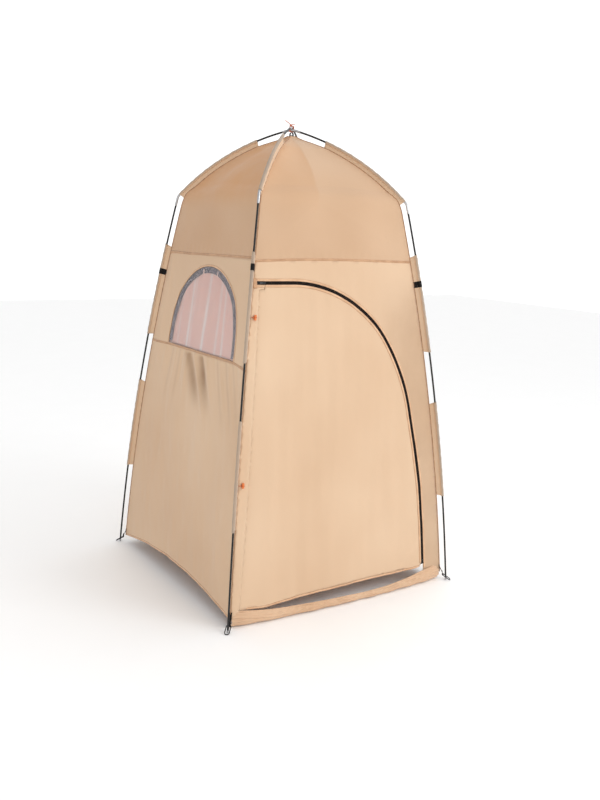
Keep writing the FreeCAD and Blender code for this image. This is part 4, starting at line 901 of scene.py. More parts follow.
def build_canopy():
    verts, faces, uvs = [], [], []
    rows, cols = 96, 81
    start = 0
    for side in SIDES:
        points, uv = gore_grid(side, rows, cols)
        verts.append(points.reshape(-1, 3))
        uvs.append(uv.reshape(-1, 2))
        faces.append(grid_faces(rows, cols) + start)
        start += rows * cols
    verts, faces, uvs = np.vstack(verts), np.vstack(faces), np.vstack(uvs)
    obj = new_mesh("canopy_cloth", verts, faces, uv=uvs)
    bm = bmesh.new()
    bm.from_mesh(obj.data)
    bmesh.ops.remove_doubles(bm, verts=bm.verts, dist=0.00005)
    bm.to_mesh(obj.data)
    bm.free()
    solidify(obj, CLOTH)
    obj.data.set_sharp_from_angle(angle=math.radians(40))
    return obj


def canopy_shade(spots):
    """Painted shade: the roof is darker on its left side and in the hollow beside the near pole."""
    x, y, z = spots.T
    left = ease(-x - np.abs(y), -0.002, 0.004) * (0.15 + 0.85 * ease(z, 1.70, 1.84))
    ridge = -0.081 * (2.09 - z) / 0.314
    hollow = ease(ridge - x, 0.0, 0.012) * ease(z, 1.68, 1.96) * ease(-y - np.abs(x), -0.002, 0.004)
    return np.clip(0.80 * left + 0.35 * hollow, 0, 1)


canopy = build_canopy()
# painted shade on the roof's left side and in the hollow beside the near pole
tint(canopy, canopy_shade)
settle(canopy, "roof", nodes=["upper_panel_" + side for side in SIDES])

# ---------------------------------------------------------------------------
# Walls
# ---------------------------------------------------------------------------


def hem_height(x):
    """The arched bottom edge of a wall."""
    half = float(wall_out(HEM))
    return HEM + HEM_RISE * (1 - (np.asarray(x, float) / half) ** 2)


def wall_grid(name, side, top, cols=150, rows=120):
    """A whole wall's cloth from its arched hem up to a seam."""
    t = np.linspace(-1, 1, cols)
    q = np.linspace(0, 1, rows)
    base = hem_height(t * float(wall_out(HEM)))
    z = base[None, :] + (top - base[None, :]) * q[:, None]
    x = t[None, :] * (wall_out(z) - EDGE_GAP)
    points = on_wall(side, x, z)
    uv = np.stack([x, z], axis=-1)
    obj = new_mesh(name, points.reshape(-1, 3), grid_faces(rows, cols), uv=uv.reshape(-1, 2))
    return solidify(obj, CLOTH)


walls = {}
for side, node in (("right", "wall_right"), ("back", "wall_back")):
    walls[side] = settle(
        wall_grid(node + "_cloth", side, SEAM_UPPER), "cloth", nodes=[node])
walls["left_low"] = settle(
    wall_grid("wall_left_lower_cloth", "left", SEAM_LOWER, cols=190, rows=100),
    "cloth", nodes=["wall_left_lower"])
# painted shade in the creases under the window
tint(walls["left_low"], left_shade)


def arch(inset, low):
    """The window's outline in the left wall's own (x, z)."""
    c, half, side, top = 0.030, 0.325 - inset, 1.120, 1.469 - inset
    sx, sz = 0.83 * half, side + 0.62 * (top - side)
    dx, dz = half - sx, sz - side
    radius = (dx**2 + dz**2) / (2 * dx)
    reach = math.asin(dz / radius)
    points = [(-half, low), (half, low)]
    for a in np.linspace(0, reach, 12):
        points.append((half - radius + radius * math.cos(a), side + radius * math.sin(a)))
    rise = top - sz
    crown = (sx**2 + rise**2) / (2 * rise)
    turn = math.asin(sx / crown)
    for a in np.linspace(turn, -turn, 24)[1:-1]:
        points.append((crown * math.sin(a), top - crown + crown * math.cos(a)))
    for a in np.linspace(reach, 0, 12):
        points.append((-(half - radius + radius * math.cos(a)), side + radius * math.sin(a)))
    return [(c + x, z) for x, z in points]


def wall_edges(low, high):
    """A wall's right edge going up and its left edge going down."""
    right = [(float(wall_out(z)) - EDGE_GAP, z) for z in np.linspace(low, high, 40)]
    return right, [(-x, z) for x, z in reversed(right)]


window_wall = wall_patch(
    "wall_left_window_cloth", "left", sum(wall_edges(SEAM_LOWER + 0.0004, SEAM_UPPER), []),
    [arch(0.0, 1.090)])
settle(window_wall, "cloth", nodes=["wall_left_window"])

# --- front wall and door, parted by the zip's line ---

ZIP_X, ZIP_Z, ZIP_RUN = -0.408, 1.4255, 0.1744
ZIP_ARCS = ((0.590, 60.0), (0.880, 19.0), (4.859, 9.0))
NOTCH_X, NOTCH_Z = ZIP_X + 0.036, ZIP_Z - 0.027
ZIP_LOW = 0.104


def zip_line(offset, start=ZIP_X, low=ZIP_LOW):
    """The zip's line moved outwards by offset, from its parked end to its low end."""
    x, z, phi = ZIP_X + ZIP_RUN, ZIP_Z, 0.0
    points = [(start, z + offset), (x, z + offset)]
    for radius, turn in ZIP_ARCS:
        cx, cz = x - radius * math.sin(phi), z - radius * math.cos(phi)
        end = phi + math.radians(turn)
        for a in np.linspace(phi, end, max(4, int(turn / 2.0)) + 1)[1:]:
            points.append((cx + (radius + offset) * math.sin(a),
                           cz + (radius + offset) * math.cos(a)))
        phi = end
        x, z = cx + radius * math.sin(phi), cz + radius * math.cos(phi)
    points = [p for p in points if p[1] > low]
    cut = math.sqrt((ZIP_ARCS[2][0] + offset) ** 2 - (low - cz) ** 2)
    points.append((cx + cut, low))
    return points


DOOR_FOOT = 0.074


def door_left(z):
    """The door's hinge edge, which leans in from its foot to the zip's notch."""
    part = (z - DOOR_FOOT) / (NOTCH_Z - DOOR_FOOT)
    return -(0.535 + part * (0.398 - 0.535))


DOOR_EDGE = np.array([
    (-0.535, 0.074), (-0.470, 0.066), (-0.407, 0.061), (-0.30, 0.067), (-0.18, 0.072), (0.0, 0.077),
    (0.163, 0.079), (0.30, 0.080), (0.40, 0.080), (0.448, 0.083),
])


def build_front():
    inset = 0.004
    line = zip_line(inset, ZIP_X, 0.060)
    outer_right, outer_left = wall_edges(0.052, SEAM_UPPER)
    outer_left = [p for p in outer_left if p[1] >= HEM] + [(-float(wall_out(HEM)), HEM)]
    hinge = [(door_left(z), z) for z in np.linspace(0.045, NOTCH_Z, 60)]
    ring = (outer_right + outer_left + hinge + [(NOTCH_X - 0.0006, NOTCH_Z)]
            + [(NOTCH_X - 0.0006, ZIP_Z - inset), (ZIP_X, ZIP_Z - inset)] + line)
    return wall_patch("wall_front_cloth", "front", ring)


wall_front = build_front()
# painted shade on the front wall's strip right of the door, fading out towards the top
tint(wall_front, lambda spots: (0.45 * ease(spots[:, 0], 0.10, 0.42)
                                * (1 - ease(spots[:, 2], 1.25, 1.50))))
settle(wall_front, "cloth", nodes=["wall_front"])


def door_extra(x, z):
    """The door's foot hangs a little slack, and its sewn edge laps over the wall's cloth."""
    slack = -0.004 * hump(z, 0.06, 0.16) * ease(x, -0.40, 0.0) * (1 - ease(x, 0.30, 0.44))
    inside = x - door_left(z) + 0.006
    lap = 0.0018 * ease(inside, 0.0, 0.016) * (1 - ease(inside, 0.016, 0.070))
    return slack + lap - 0.0010 * (1 - ease(inside, 0.0, 0.010))


def build_door():
    line = zip_line(-0.004, NOTCH_X, 0.100)
    hinge = [(door_left(z) - 0.006, z) for z in np.linspace(NOTCH_Z, 0.078, 60)]
    foot = [tuple(p) for p in smooth_path(DOOR_EDGE, 0.012)]
    ring = hinge + foot + line[::-1] + [(NOTCH_X, NOTCH_Z)]
    return wall_patch("door_cloth", "front", ring, extra=door_extra)


door = build_door()
settle(door, "cloth", body=None, nodes=["door_panel"])
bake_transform(door)

# ---------------------------------------------------------------------------
# Seams, hems and bindings
# ---------------------------------------------------------------------------

SEAM_DIP = {
    "front": ((-0.409, 1.5135), (-0.36, 1.5165), (-0.2, 1.522), (0.0, 1.5235), (0.2, 1.521),
              (0.33, 1.5185), (0.409, 1.517)),
    "left": ((-0.409, 1.5075), (-0.38, 1.5145), (-0.197, 1.5165), (0.034, 1.5215), (0.2, 1.524),
             (0.409, 1.527)),
    "back": ((-0.409, 1.518), (-0.2, 1.523), (0.0, 1.525), (0.2, 1.5215), (0.409, 1.516)),
    "right": ((-0.409, 1.515), (-0.2, 1.5215), (0.0, 1.5245), (0.2, 1.522), (0.409, 1.518)),
}


def upper_surface(side, x, z):
    """Points of the cloth on either side of the upper seam."""
    low = on_wall(side, x, np.minimum(z, SEAM_UPPER))
    s = np.clip(z - SEAM_UPPER, 0, None)
    half = np.interp(s, PROFILE_S, PROFILE[:, 0])
    lift = canopy_push(side, np.asarray(x, float), s, half)
    up = put(side, x, half + lift, SEAM_UPPER + s)
    return np.where((z > SEAM_UPPER)[..., None], up, low)


for side in SIDES:
    path = smooth_path(SEAM_DIP[side], 0.008)
    reach = wall_out(path[:, 1]) - 0.001
    path[:, 0] = np.clip(path[:, 0] * 1.005, -reach, reach)
    centre = upper_surface(side, path[:, 0], path[:, 1])
    above = upper_surface(side, path[:, 0], path[:, 1] + 0.004)
    below = upper_surface(side, path[:, 0], path[:, 1] - 0.004)
    across = unit(above - below)
    normal = unit(np.cross(np.gradient(centre, axis=0), across))
    seam = band("seam_upper_" + side, centre, across, normal, 0.011, 0.0010)
    settle(seam, "seam")

lower_path = [(-0.48, 1.0775), (-0.455, 1.0790), (-0.305, 1.0825), (-0.106, 1.0865), (0.0, 1.087),
              (0.21, 1.0875), (0.33, 1.0880), (0.38, 1.0845), (0.425, 1.0780), (0.4745, 1.0700)]
lower_seam = wall_band(
    "seam_lower_left", "left", smooth_path(lower_path, 0.008), 0.010, 0.0010)
settle(lower_seam, "seam")


def hem_band(name, side, x_from, x_to, heights, body=ROOT, shift=0.0055):
    xs = np.linspace(x_from, x_to, 120)
    path = np.stack([xs, heights(xs) + shift], axis=1)
    return settle(wall_band(name, side, path, 0.010, 0.0008), "binding", body)


half_hem = float(wall_out(HEM)) - 0.002
hems = [hem_band("hem_" + side, side, -half_hem, half_hem, hem_height)
        for side in ("left", "back", "right")]


def corner_seam(corner):
    """Piping along a corner, where two sides and the sleeves are sewn together."""
    low = HEM + 0.001
    z = np.linspace(low, SEAM_UPPER, 120)
    wall = np.stack([corner_edge(z), z], axis=1)
    roof = PROFILE[::4] * np.array([math.sqrt(2), 1.0])
    line = np.vstack([wall, roof[1:]])
    line = line[line[:, 0] > 0.012]
    p = in_corner(corner, line[:, 0] + 0.0006, line[:, 1] + 0.0004)
    p = resample(p, 0.010)
    wobble = 0.0004 * np.sin(np.arange(len(p)) * 1.7)
    p = p + corner_frame(corner)[2] * wobble[:, None]
    return settle(tube("corner_seam_" + corner, p, 0.0020, sides=8, step=0.010), "piping")


corner_seams = [corner_seam(corner) for corner in CORNERS]

# --- the zip: black tapes with a coil of teeth, bindings either side and an end tab; its slider, pull and stops are the imported parts ---


def zip_tape(name, sign, start, body, nodes):
    """One tape of the zip with its row of coil teeth along the meeting edge."""
    line = resample(zip_line(0.0, start), 0.0040)
    near, far = 0.0009, 0.0088
    middle = sign * (near + far) / 2
    flat = wall_band(name, "front", line, far - near, 0.0009, step=0.0050, proud=0.0001,
                     shift=middle, columns=5, square=3.0)
    paint(flat, "zip")
    # the coil: a ridge whose height and width pulse with every tooth
    fine = resample(zip_line(0.0, start), 0.0007)
    ahead = unit(np.gradient(fine, axis=0))
    across = np.stack([-ahead[:, 1], ahead[:, 0]], axis=1)
    pulse = 0.5 + 0.5 * np.cos(np.arange(len(fine)) * math.pi / 2 + (math.pi if sign > 0 else 0))
    normal = wall_normal("front", fine[:, 0], fine[:, 1])
    rings = []
    for shift, lift in ((0.0004, 0.0002), (0.0012, 0.0019), (0.0026, 0.0022), (0.0036, 0.0006)):
        height = lift * (0.55 + 0.45 * pulse)
        q = fine + across * (sign * shift)
        rings.append(on_wall("front", q[:, 0], q[:, 1], 0.0006) + normal * height[:, None])
    ring = np.stack(rings, axis=1)
    n, cols = ring.shape[:2]
    length = np.arange(n) * 0.0007
    uv = np.stack([np.tile(np.arange(cols) * 0.001, n), np.repeat(length, cols)], axis=1)
    coil = new_mesh(name + "_coil", ring.reshape(-1, 3), tube_faces(n, cols), uv=uv)
    fix_normals(coil)
    paint(coil, "zip")
    return settle(join(name, [flat, coil]), None, body, nodes)


zip_wall = zip_tape("zip_tape_outer", 1, ZIP_X + 0.0002, ROOT, ["zip_tape_wall"])
zip_door = zip_tape("zip_tape_inner", -1, NOTCH_X + 0.0004, "door", ["zip_tape_door"])


BINDING_AT = 0.0121


def binding(name, sign, start, body, low=ZIP_LOW):
    """A folded strip of cloth over the tape's edge, with a line of stitches each side."""
    line = zip_line(0.0, start, low)
    strip = wall_band(name, "front", line, 0.0115, 0.0011, step=0.006, proud=0.0006,
                      shift=sign * BINDING_AT, columns=9, square=3.0)
    return settle(strip, "binding", body)


binding_wall = binding("zip_binding_outer", 1, ZIP_X - 0.0005, ROOT, 0.078)
binding_door = binding("zip_binding_inner", -1, NOTCH_X + 0.0006, "door")

park_line = [(ZIP_X + 0.0002, ZIP_Z - 0.0049), (NOTCH_X - 0.0006, ZIP_Z - 0.0049)]
park_tape = wall_band("zip_tape_parked", "front", park_line, 0.0080, 0.0009, step=0.004,
                      proud=0.0001, columns=5, square=3.0)
settle(park_tape, "zip", nodes=["zip_tape_end"])
park_binding = wall_band(
    "zip_binding_parked", "front",
    [(ZIP_X - 0.0005, ZIP_Z - BINDING_AT), (NOTCH_X - 0.0008, ZIP_Z - BINDING_AT)],
    0.0115, 0.0011, step=0.004, proud=0.0006, columns=9, square=3.0)
settle(park_binding, "binding")


# a small folded patch of cloth sewn over the zip's parked end
tab_path = [(x, (1.4035 + 1.4475) / 2) for x in np.linspace(-0.4255, -0.4085, 14)]
tab_left = wall_band("zip_end_tab", "front", tab_path, 1.4475 - 1.4035, 0.0012, step=0.003,
                     proud=0.0012, columns=13, square=4.0)
settle(tab_left, "seam")

# --- sill: a gathered strip across the foot of the doorway ---

SILL_TOP = np.array([
    (-0.572, 0.076), (-0.537, 0.072), (-0.428, 0.055), (-0.33, 0.047), (-0.238, 0.043),
    (0.0, 0.034), (0.12, 0.032), (0.246, 0.034), (0.33, 0.042), (0.40, 0.052), (0.47, 0.068),
    (0.53, 0.072), (0.572, 0.070),
])


def build_sill():
    cols, rows = 460, 34
    x = np.linspace(-0.571, 0.571, cols)
    top = np.interp(x, *SILL_TOP.T)
    for _ in range(6):
        top = np.convolve(np.pad(top, 9, mode="edge"), np.ones(19) / 19, mode="valid")
    # in plan, an arc that bulges out from the wall's line
    plan = -(0.575 + 0.020 * (1 - (x / 0.571) ** 2))
    q = np.linspace(0, 1, rows)[:, None]
    rng = np.random.RandomState(7)
    # wrinkles run along the strip, slanting a little, and open out towards its sewn ends
    wave_x = x[None, :]
    fine = np.zeros((rows, cols))
    for _ in range(14):
        run = rng.uniform(0.10, 0.38) * rng.choice((-1, 1))
        across = rng.uniform(1.6, 4.6)
        phase = rng.uniform(0, 2 * math.pi)
        wander = 0.35 * np.sin(2 * math.pi * wave_x / rng.uniform(0.06, 0.17) + phase)
        fine = fine + np.sin(2 * math.pi * (wave_x / run + across * q) + phase + wander)
    fine /= math.sqrt(14)
    for _ in range(4):
        pitch = rng.uniform(0.030, 0.060)
        fine = fine + 0.22 * np.sin(2 * math.pi / pitch * (wave_x + 0.03 * q) + rng.uniform(0, 6))
    ends = ease(np.abs(wave_x), 0.42, 0.55)
    spray = np.sin(2 * math.pi * (3.3 * q + 5.0 * (0.571 - np.abs(wave_x)) * (q - 0.4) * 6))
    fine = fine * (1 - 0.5 * ends) + 0.8 * ends * spray
    long_wave = ripple(wave_x + 0 * q, 0.3 * q, 19, 5, 0.09, 0.24, 0.2)
    # down the strip: rolled edge, outer face, tuck at the ground
    height = top[None, :] * (1 - q**1.1)
    bulge = 0.010 * np.sin(math.pi * np.clip(q * 1.15, 0, 1)) + 0.006 * q
    crease = 0.0022 * fine * np.sin(math.pi * np.clip(q, 0.05, 0.95)) ** 0.5
    y = plan[None, :] - bulge - crease - 0.0022 * long_wave
    y = y + 0.010 * ease(np.abs(x), 0.50, 0.571)[None, :]
    height = height + 0.0010 * fine * (1 - q) + 0.0016 * long_wave * (1 - q)
    height = np.maximum(height, 0.0012)
    tuck = ease(q, 0.86, 1.0)
    y = y + 0.024 * tuck
    height = height * (1 - tuck) + 0.0014 * tuck
    points = np.stack([np.broadcast_to(x, y.shape), y, height], axis=-1)
    uv = np.stack([np.broadcast_to(x * 1.25, y.shape), np.broadcast_to(q * 0.09, y.shape)], axis=-1)
    sheet = new_mesh("sill_cloth", points.reshape(-1, 3), grid_faces(rows, cols, flip=True),
                     uv=uv.reshape(-1, 2))
    solidify(sheet, 0.0010)
    # a rolled elastic hem along the top edge
    edge = resample(points[0], 0.004)
    roll = tube("sill_roll", edge + np.array([0, 0.0006, -0.0014]), 0.0032, sides=10, step=0.004)
    return sheet, roll


sill, sill_roll = build_sill()
settle(sill, "sill", nodes=["door_sill"])
settle(sill_roll, "sill")
door_hem = hem_band(
    "door_hem", "front", -0.525, 0.446, lambda xs: np.interp(xs, *smooth_path(DOOR_EDGE, 0.012).T),
    "door", 0.0050)

# ---------------------------------------------------------------------------
# Window: netting, closing band, inner flap and its seam
# ---------------------------------------------------------------------------

net = wall_patch("window_netting_sheet", "left", arch(-0.004, 1.087), step=(0.012, 0.012),
                 proud=-0.0011, thickness=0.0004)
settle(net, "net", nodes=["window_mesh"])


def strip_between(name, outer, inner, proud, height, body, key, nodes=()):
    """A band between two like outlines of the window, open at the foot."""
    count = 160

    def evened(line):
        p = resample(line, 0.006)
        at, own = np.linspace(0, 1, count), np.linspace(0, 1, len(p))
        return np.stack([np.interp(at, own, p[:, k]) for k in (0, 1)], 1)

    a, b = evened(outer), evened(inner)
    t = np.linspace(0, 1, 7)[None, :, None]
    flat = a[:, None, :] * (1 - t) + b[:, None, :] * t
    x, z = flat[..., 0], flat[..., 1]
    points = on_wall("left", x, z, proud)
    length = run_along(a)
    across = np.linalg.norm(a - b, axis=1)[:, None] * (t[..., 0] - 0.5)
    uv = np.stack([across, np.broadcast_to(length[:, None], across.shape)], axis=-1)
    obj = new_mesh(name, points.reshape(-1, 3), grid_faces(count, 7), uv=uv.reshape(-1, 2))
    fix_normals(obj)
    solidify(obj, height)
    return settle(obj, key, body, nodes)


def open_arch(inset, low):
    """The arch's line from one foot to the other, without the straight foot."""
    ring = arch(inset, low)
    return ring[1:] + ring[:1]


closing = strip_between("window_closing_band", open_arch(-0.001, 1.100), open_arch(0.029, 1.100),
                        -0.0030, 0.0011, ROOT, "closing", ["window_band"])
trim = wall_band("window_trim", "left", open_arch(-0.0045, 1.090), 0.0090, 0.0009, step=0.006,
                 proud=0.0001)
settle(trim, "binding")


def flap_extra(x, z):
    """Soft upright folds of the loose inner flap."""
    rise = ease(z, 1.16, 1.26)
    total = np.zeros(np.broadcast(x, z).shape)
    for at, wide, deep, lean in ((-0.19, 0.030, 0.006, 0.05), (-0.10, 0.024, -0.005, 0.03),
                                 (-0.035, 0.022, 0.007, 0.01), (0.045, 0.018, -0.006, -0.01),
                                 (0.105, 0.016, 0.007, -0.02), (0.17, 0.020, -0.005, -0.05),
                                 (0.245, 0.018, 0.006, -0.08), (-0.245, 0.022, -0.004, 0.08)):
        total += deep * np.exp(-((x - at - lean * (z - 1.25)) / wide) ** 2)
    return total * rise * 0.55


def flap_pleats(x, z):
    """Pale lines where the flap's pleats catch the light."""
    total = np.zeros(len(x))
    for at, wide, lean, level in ((-0.115, 0.010, 0.02, 1.2), (-0.090, 0.006, 0.03, 0.8),
                                  (0.040, 0.011, 0.0, 1.4), (0.155, 0.008, 0.06, 1.0),
                                  (0.205, 0.007, 0.10, 1.2), (-0.200, 0.008, -0.05, 0.6)):
        total += level * np.exp(-((x - at - lean * (1.35 - z)) / wide) ** 2)
    return np.clip(total, 0, 1.3) * (1 - 0.4 * ease(z, 1.10, 1.40))


flap = wall_patch("window_flap_cloth", "left", arch(0.009, 1.094), step=(0.009, 0.016),
                  proud=-0.0064, extra=flap_extra)
# painted highlights along the flap's pleats
tint(flap, lambda spots: flap_pleats(-spots[:, 1], spots[:, 2]))
settle(flap, "flap", "window_flap", ["window_flap"])

# ---------------------------------------------------------------------------
# Sleeves and webbing on the poles
# ---------------------------------------------------------------------------


def sleeve_profile(radius, reach, half_web, count=18):
    """Down one side of the web, round the pole and back: (outwards, sideways) pairs."""
    meet = math.acos(-math.sqrt(1 - (half_web / radius) ** 2))
    inward = [(-reach + (reach - radius * 1.35) * t, -half_web) for t in np.linspace(0, 1, 6)]
    ring = []
    for a in np.linspace(-meet, meet, count):
        ring.append((radius * math.cos(a), radius * math.sin(a)))
    back = [(o, -w) for o, w in reversed(inward)]
    return np.array(inward + ring + back)


# the webbing tab sits higher on the near front pole than on the other three
TAB_TOPS = {"front_left": 1.5045}


def sleeve_span(name, corner, centre, radius, start, end, size, slant=0.0, wrinkle=0.0004, seed=1,
                reach=0.0288, half_web=0.00085):
    """One stretch of sleeve along an arc of the pole, from angle start to end."""
    out, up, side = corner_frame(corner)
    profile = sleeve_profile(size, reach, half_web)
    count = max(6, int(radius * (end - start) / 0.009))
    rng = np.random.RandomState(seed)
    phases = rng.uniform(0, 2 * math.pi, 6)
    rows = []
    for i in range(count):
        t = i / (count - 1)
        base = start + (end - start) * t
        row = []
        for k, (o, w) in enumerate(profile):
            tilt = slant * (-o) / radius * ((1 - t) - t)
            angle = base + tilt
            s = radius * angle
            wave = wrinkle * (math.sin(s * 2 * math.pi / 0.031 + phases[0] + k * 0.25)
                              + math.sin(s * 2 * math.pi / 0.053 + phases[1] - k * 0.2))
            edge = min(1.0, -o / 0.012) if o < -size else 1.0
            sag = wave * (0.3 + 0.7 * min(1.0, (reach + o) / 0.010)) * edge
            shift_out = o + (sag if o > -size else 0)
            shift_side = w + (sag * 1.4 if o < 0 else sag * (1 if w > 0 else -1) * 0.6)
            r = centre[0] + (radius + shift_out) * math.sin(angle)
            z = centre[1] + (radius + shift_out) * math.cos(angle)
            row.append(out * r + up * z + side * shift_side)
        rows.append(row)
    points = np.array(rows)
    gaps = run_along(profile)
    length = radius * (start + (end - start) * np.linspace(0, 1, count))
    uv = np.stack([np.broadcast_to(gaps[None, :], points.shape[:2]),
                   np.broadcast_to(length[:, None], points.shape[:2])], axis=-1)
    # painted shade: the cloth is greyed where it lies on the dark pole, for the pole's shade seen
    # through it
    round_part = ease(profile[:, 0], -size * 0.9, size * 0.3)
    shade = np.broadcast_to(round_part[None, :], points.shape[:2])
    obj = new_mesh(name, points.reshape(-1, 3), grid_faces(count, len(profile)),
                   uv=uv.reshape(-1, 2), shade=shade)
    return obj, length[-1] - length[0]


def leg_angle(arcs, height):
    centre, radius, _, _ = arcs["leg"]
    return math.acos((height - centre[1]) / radius)


def roof_angle(arcs, out):
    centre, radius, _, _ = arcs["roof"]
    return math.asin((out - centre[0]) / radius)


def outward(obj, corner):
    """Turns a swept sheet's faces away from the pole, so that its thickness grows inwards."""
    bm = bmesh.new()
    bm.from_mesh(obj.data)
    out = Vector(corner_frame(corner)[0])
    best = max(bm.faces, key=lambda f: abs(f.normal.dot(out)))
    if best.normal.dot(out) < 0:
        bmesh.ops.reverse_faces(bm, faces=bm.faces)
    bm.to_mesh(obj.data)
    bm.free()


bands = []
for index, corner in enumerate(CORNERS):
    arcs = pole_arcs(corner in OVER)
    parts, run = [], 0.0
    for top, low in ((0.873, 0.421), (1.550, 1.108)):
        part, length = sleeve_span(
            "part", corner, arcs["leg"][0], arcs["leg"][1], leg_angle(arcs, top),
            leg_angle(arcs, low), 0.0068, slant=0.22, seed=index * 3 + int(top))
        parts.append(part)
        run += length
    part, length = sleeve_span(
        "part", corner, arcs["roof"][0], arcs["roof"][1], roof_angle(arcs, 0.162),
        roof_angle(arcs, 0.538), 0.0068, slant=0.12, seed=index * 3 + 2,
        reach=0.0342 if corner in OVER else 0.0240)
    parts.append(part)
    run += length
    for part in parts:
        outward(part, corner)
        solidify(part, 0.0005)
    made = join("sleeve_cloth_" + corner, parts)
    settle(made, "sleeve", nodes=["sleeve_" + corner])
    tab_top = TAB_TOPS.get(corner, 1.4335)
    tab, _ = sleeve_span(
        "part", corner, arcs["leg"][0], arcs["leg"][1], leg_angle(arcs, tab_top),
        leg_angle(arcs, tab_top - 0.027), 0.0081, wrinkle=0.0, reach=0.0292, half_web=0.0019)
    outward(tab, corner)
    solidify(tab, 0.0012)
    bands.append(tab)
bands = join("sleeve_webbing", bands)
settle(bands, "webbing", nodes=["sleeve_bands"])


def flat_strip(name, path, side, width, thickness, step=0.002):
    """Webbing that follows a path, its width along one fixed direction."""
    p = smooth_path(path, step)
    across = np.broadcast_to(side, p.shape)
    normal = unit(np.cross(unit(np.gradient(p, axis=0)), across))
    return band(name, p - normal * thickness / 2, across, normal, width, thickness, columns=9,
                square=5.0, rim=0.0001)


RING_LONG, RING_TILT = 0.042, math.radians(32)
straps = []
for corner in CORNERS:
    r, z, phi = pole_arcs(corner in OVER)["foot"]
    side = corner_frame(corner)[2]
    hold_r = r - 0.4 * RING_LONG * math.cos(RING_TILT)
    hold_z = 0.002 + RING_LONG * math.sin(RING_TILT)
    loop = 0.0034
    top_z = 0.074
    path = [(float(corner_edge(top_z)) + 0.001, top_z), (float(corner_edge(0.058)) + 0.0035, 0.058),
            (hold_r - loop - 0.0012, hold_z + 0.013), (hold_r - loop, hold_z + 0.001)]
    for a in (215, 250, 285, 320, 355, 30, 65, 100, 130):
        rad = math.radians(a)
        path.append((hold_r + loop * math.cos(rad), hold_z + loop * math.sin(rad)))
    path += [(hold_r - loop + 0.0006, hold_z + 0.010), (hold_r - loop - 0.0002, hold_z + 0.018)]
    p = in_corner(corner, [q[0] for q in path], [q[1] for q in path])
    straps.append(flat_strip("strap", p, side, 0.0126, 0.0013))
straps = join("foot_webbing", straps)
settle(straps, "webbing", nodes=["foot_straps"])

# ---------------------------------------------------------------------------
# Toggles and the apex tie
# ---------------------------------------------------------------------------


def barrel(name, centre, axis, radius, length):
    """A moulded toggle: rounded ends, two grooves and a waist for the cord."""
    t = np.array([0, 0.02, 0.06, 0.12, 0.2, 0.26, 0.32, 0.42, 0.5, 0.58, 0.68, 0.74, 0.8, 0.88,
                  0.94, 0.98, 1.0])
    r = np.array([0.35, 0.72, 0.92, 1.0, 0.98, 0.88, 0.98, 0.96, 0.84, 0.96, 0.98, 0.88, 0.98, 1.0,
                  0.92, 0.72, 0.35]) * radius
    axis = unit(np.asarray(axis, float))
    a = unit(np.cross(axis, [0.3, 0.7, 0.2]))
    b = np.cross(axis, a)
    turn = np.linspace(0, 2 * math.pi, 24, endpoint=False)
    cos, sin = np.cos(turn)[None, :, None], np.sin(turn)[None, :, None]
    ring = (np.asarray(centre)[None, None, :]
            + axis[None, None, :] * ((t - 0.5) * length)[:, None, None]
            + r[:, None, None] * (cos * a + sin * b))
    n, sides = ring.shape[:2]
    uv = np.stack([np.tile(turn * radius, n), np.repeat(t * length, sides)], axis=1)
    obj = new_mesh(name, ring.reshape(-1, 3), tube_faces(n, sides), uv=uv)
    fix_normals(obj)
    return obj


def toggle(name, node, base, reach_dir, barrel_dir, reach, size=1.0):
    """A barrel held in a loop of cord: two strands side by side that go round its waist."""
    base, way, along = (np.asarray(q, float) for q in (base, reach_dir, barrel_dir))
    way, along = unit(way), unit(along)
    middle = base + way * reach
    body_mesh = paint(barrel("barrel", middle, along, 0.0045 * size, 0.018 * size), "toggle")
    normal = np.cross(way, along)
    path = [base + along * 0.0012, base + way * reach * 0.4 + normal * 0.0026]
    for a in (120, 80, 40, 0, -40, -80, -120):
        rad = math.radians(a)
        path.append(middle + 0.0049 * size * (math.cos(rad) * way + math.sin(rad) * normal))
    path += [base + way * reach * 0.4 - normal * 0.0026, base - along * 0.0012]
    strand = paint(tube("strand", path, 0.0011 * size, sides=8, step=0.0013), "orange")
    return settle(join(name, [body_mesh, strand]), None, node, [node])


def toggle_frame(height):
    """Where a door toggle leaves the corner, and the directions it lies in."""
    lean = math.atan2(float(wall_out(height - 0.05) - wall_out(height + 0.05)), 0.1)
    up = np.array([math.sin(lean), math.sin(lean), math.cos(lean)])
    up = unit(up)
    across = unit(np.array([1.0, 0, 0]) - up * up[0])
    out = float(wall_out(height))
    return np.array([-out + 0.003, -out - 0.0065, height]), across, up


for label, height in (("door_toggle_upper", 1.289), ("door_toggle_lower", 0.605)):
    base, across, up = toggle_frame(height)
    toggle(label + "_loop", label, base, across, up, 0.017, size=1.25)
for label, y in (("window_toggle_front", -0.205), ("window_toggle_back", 0.115)):
    height = 1.146
    base = np.array([-float(wall_out(height)) + 0.014, y, height])
    toggle(label + "_loop", label, base, (0, 0, -1), (0, 1, 0), 0.026)

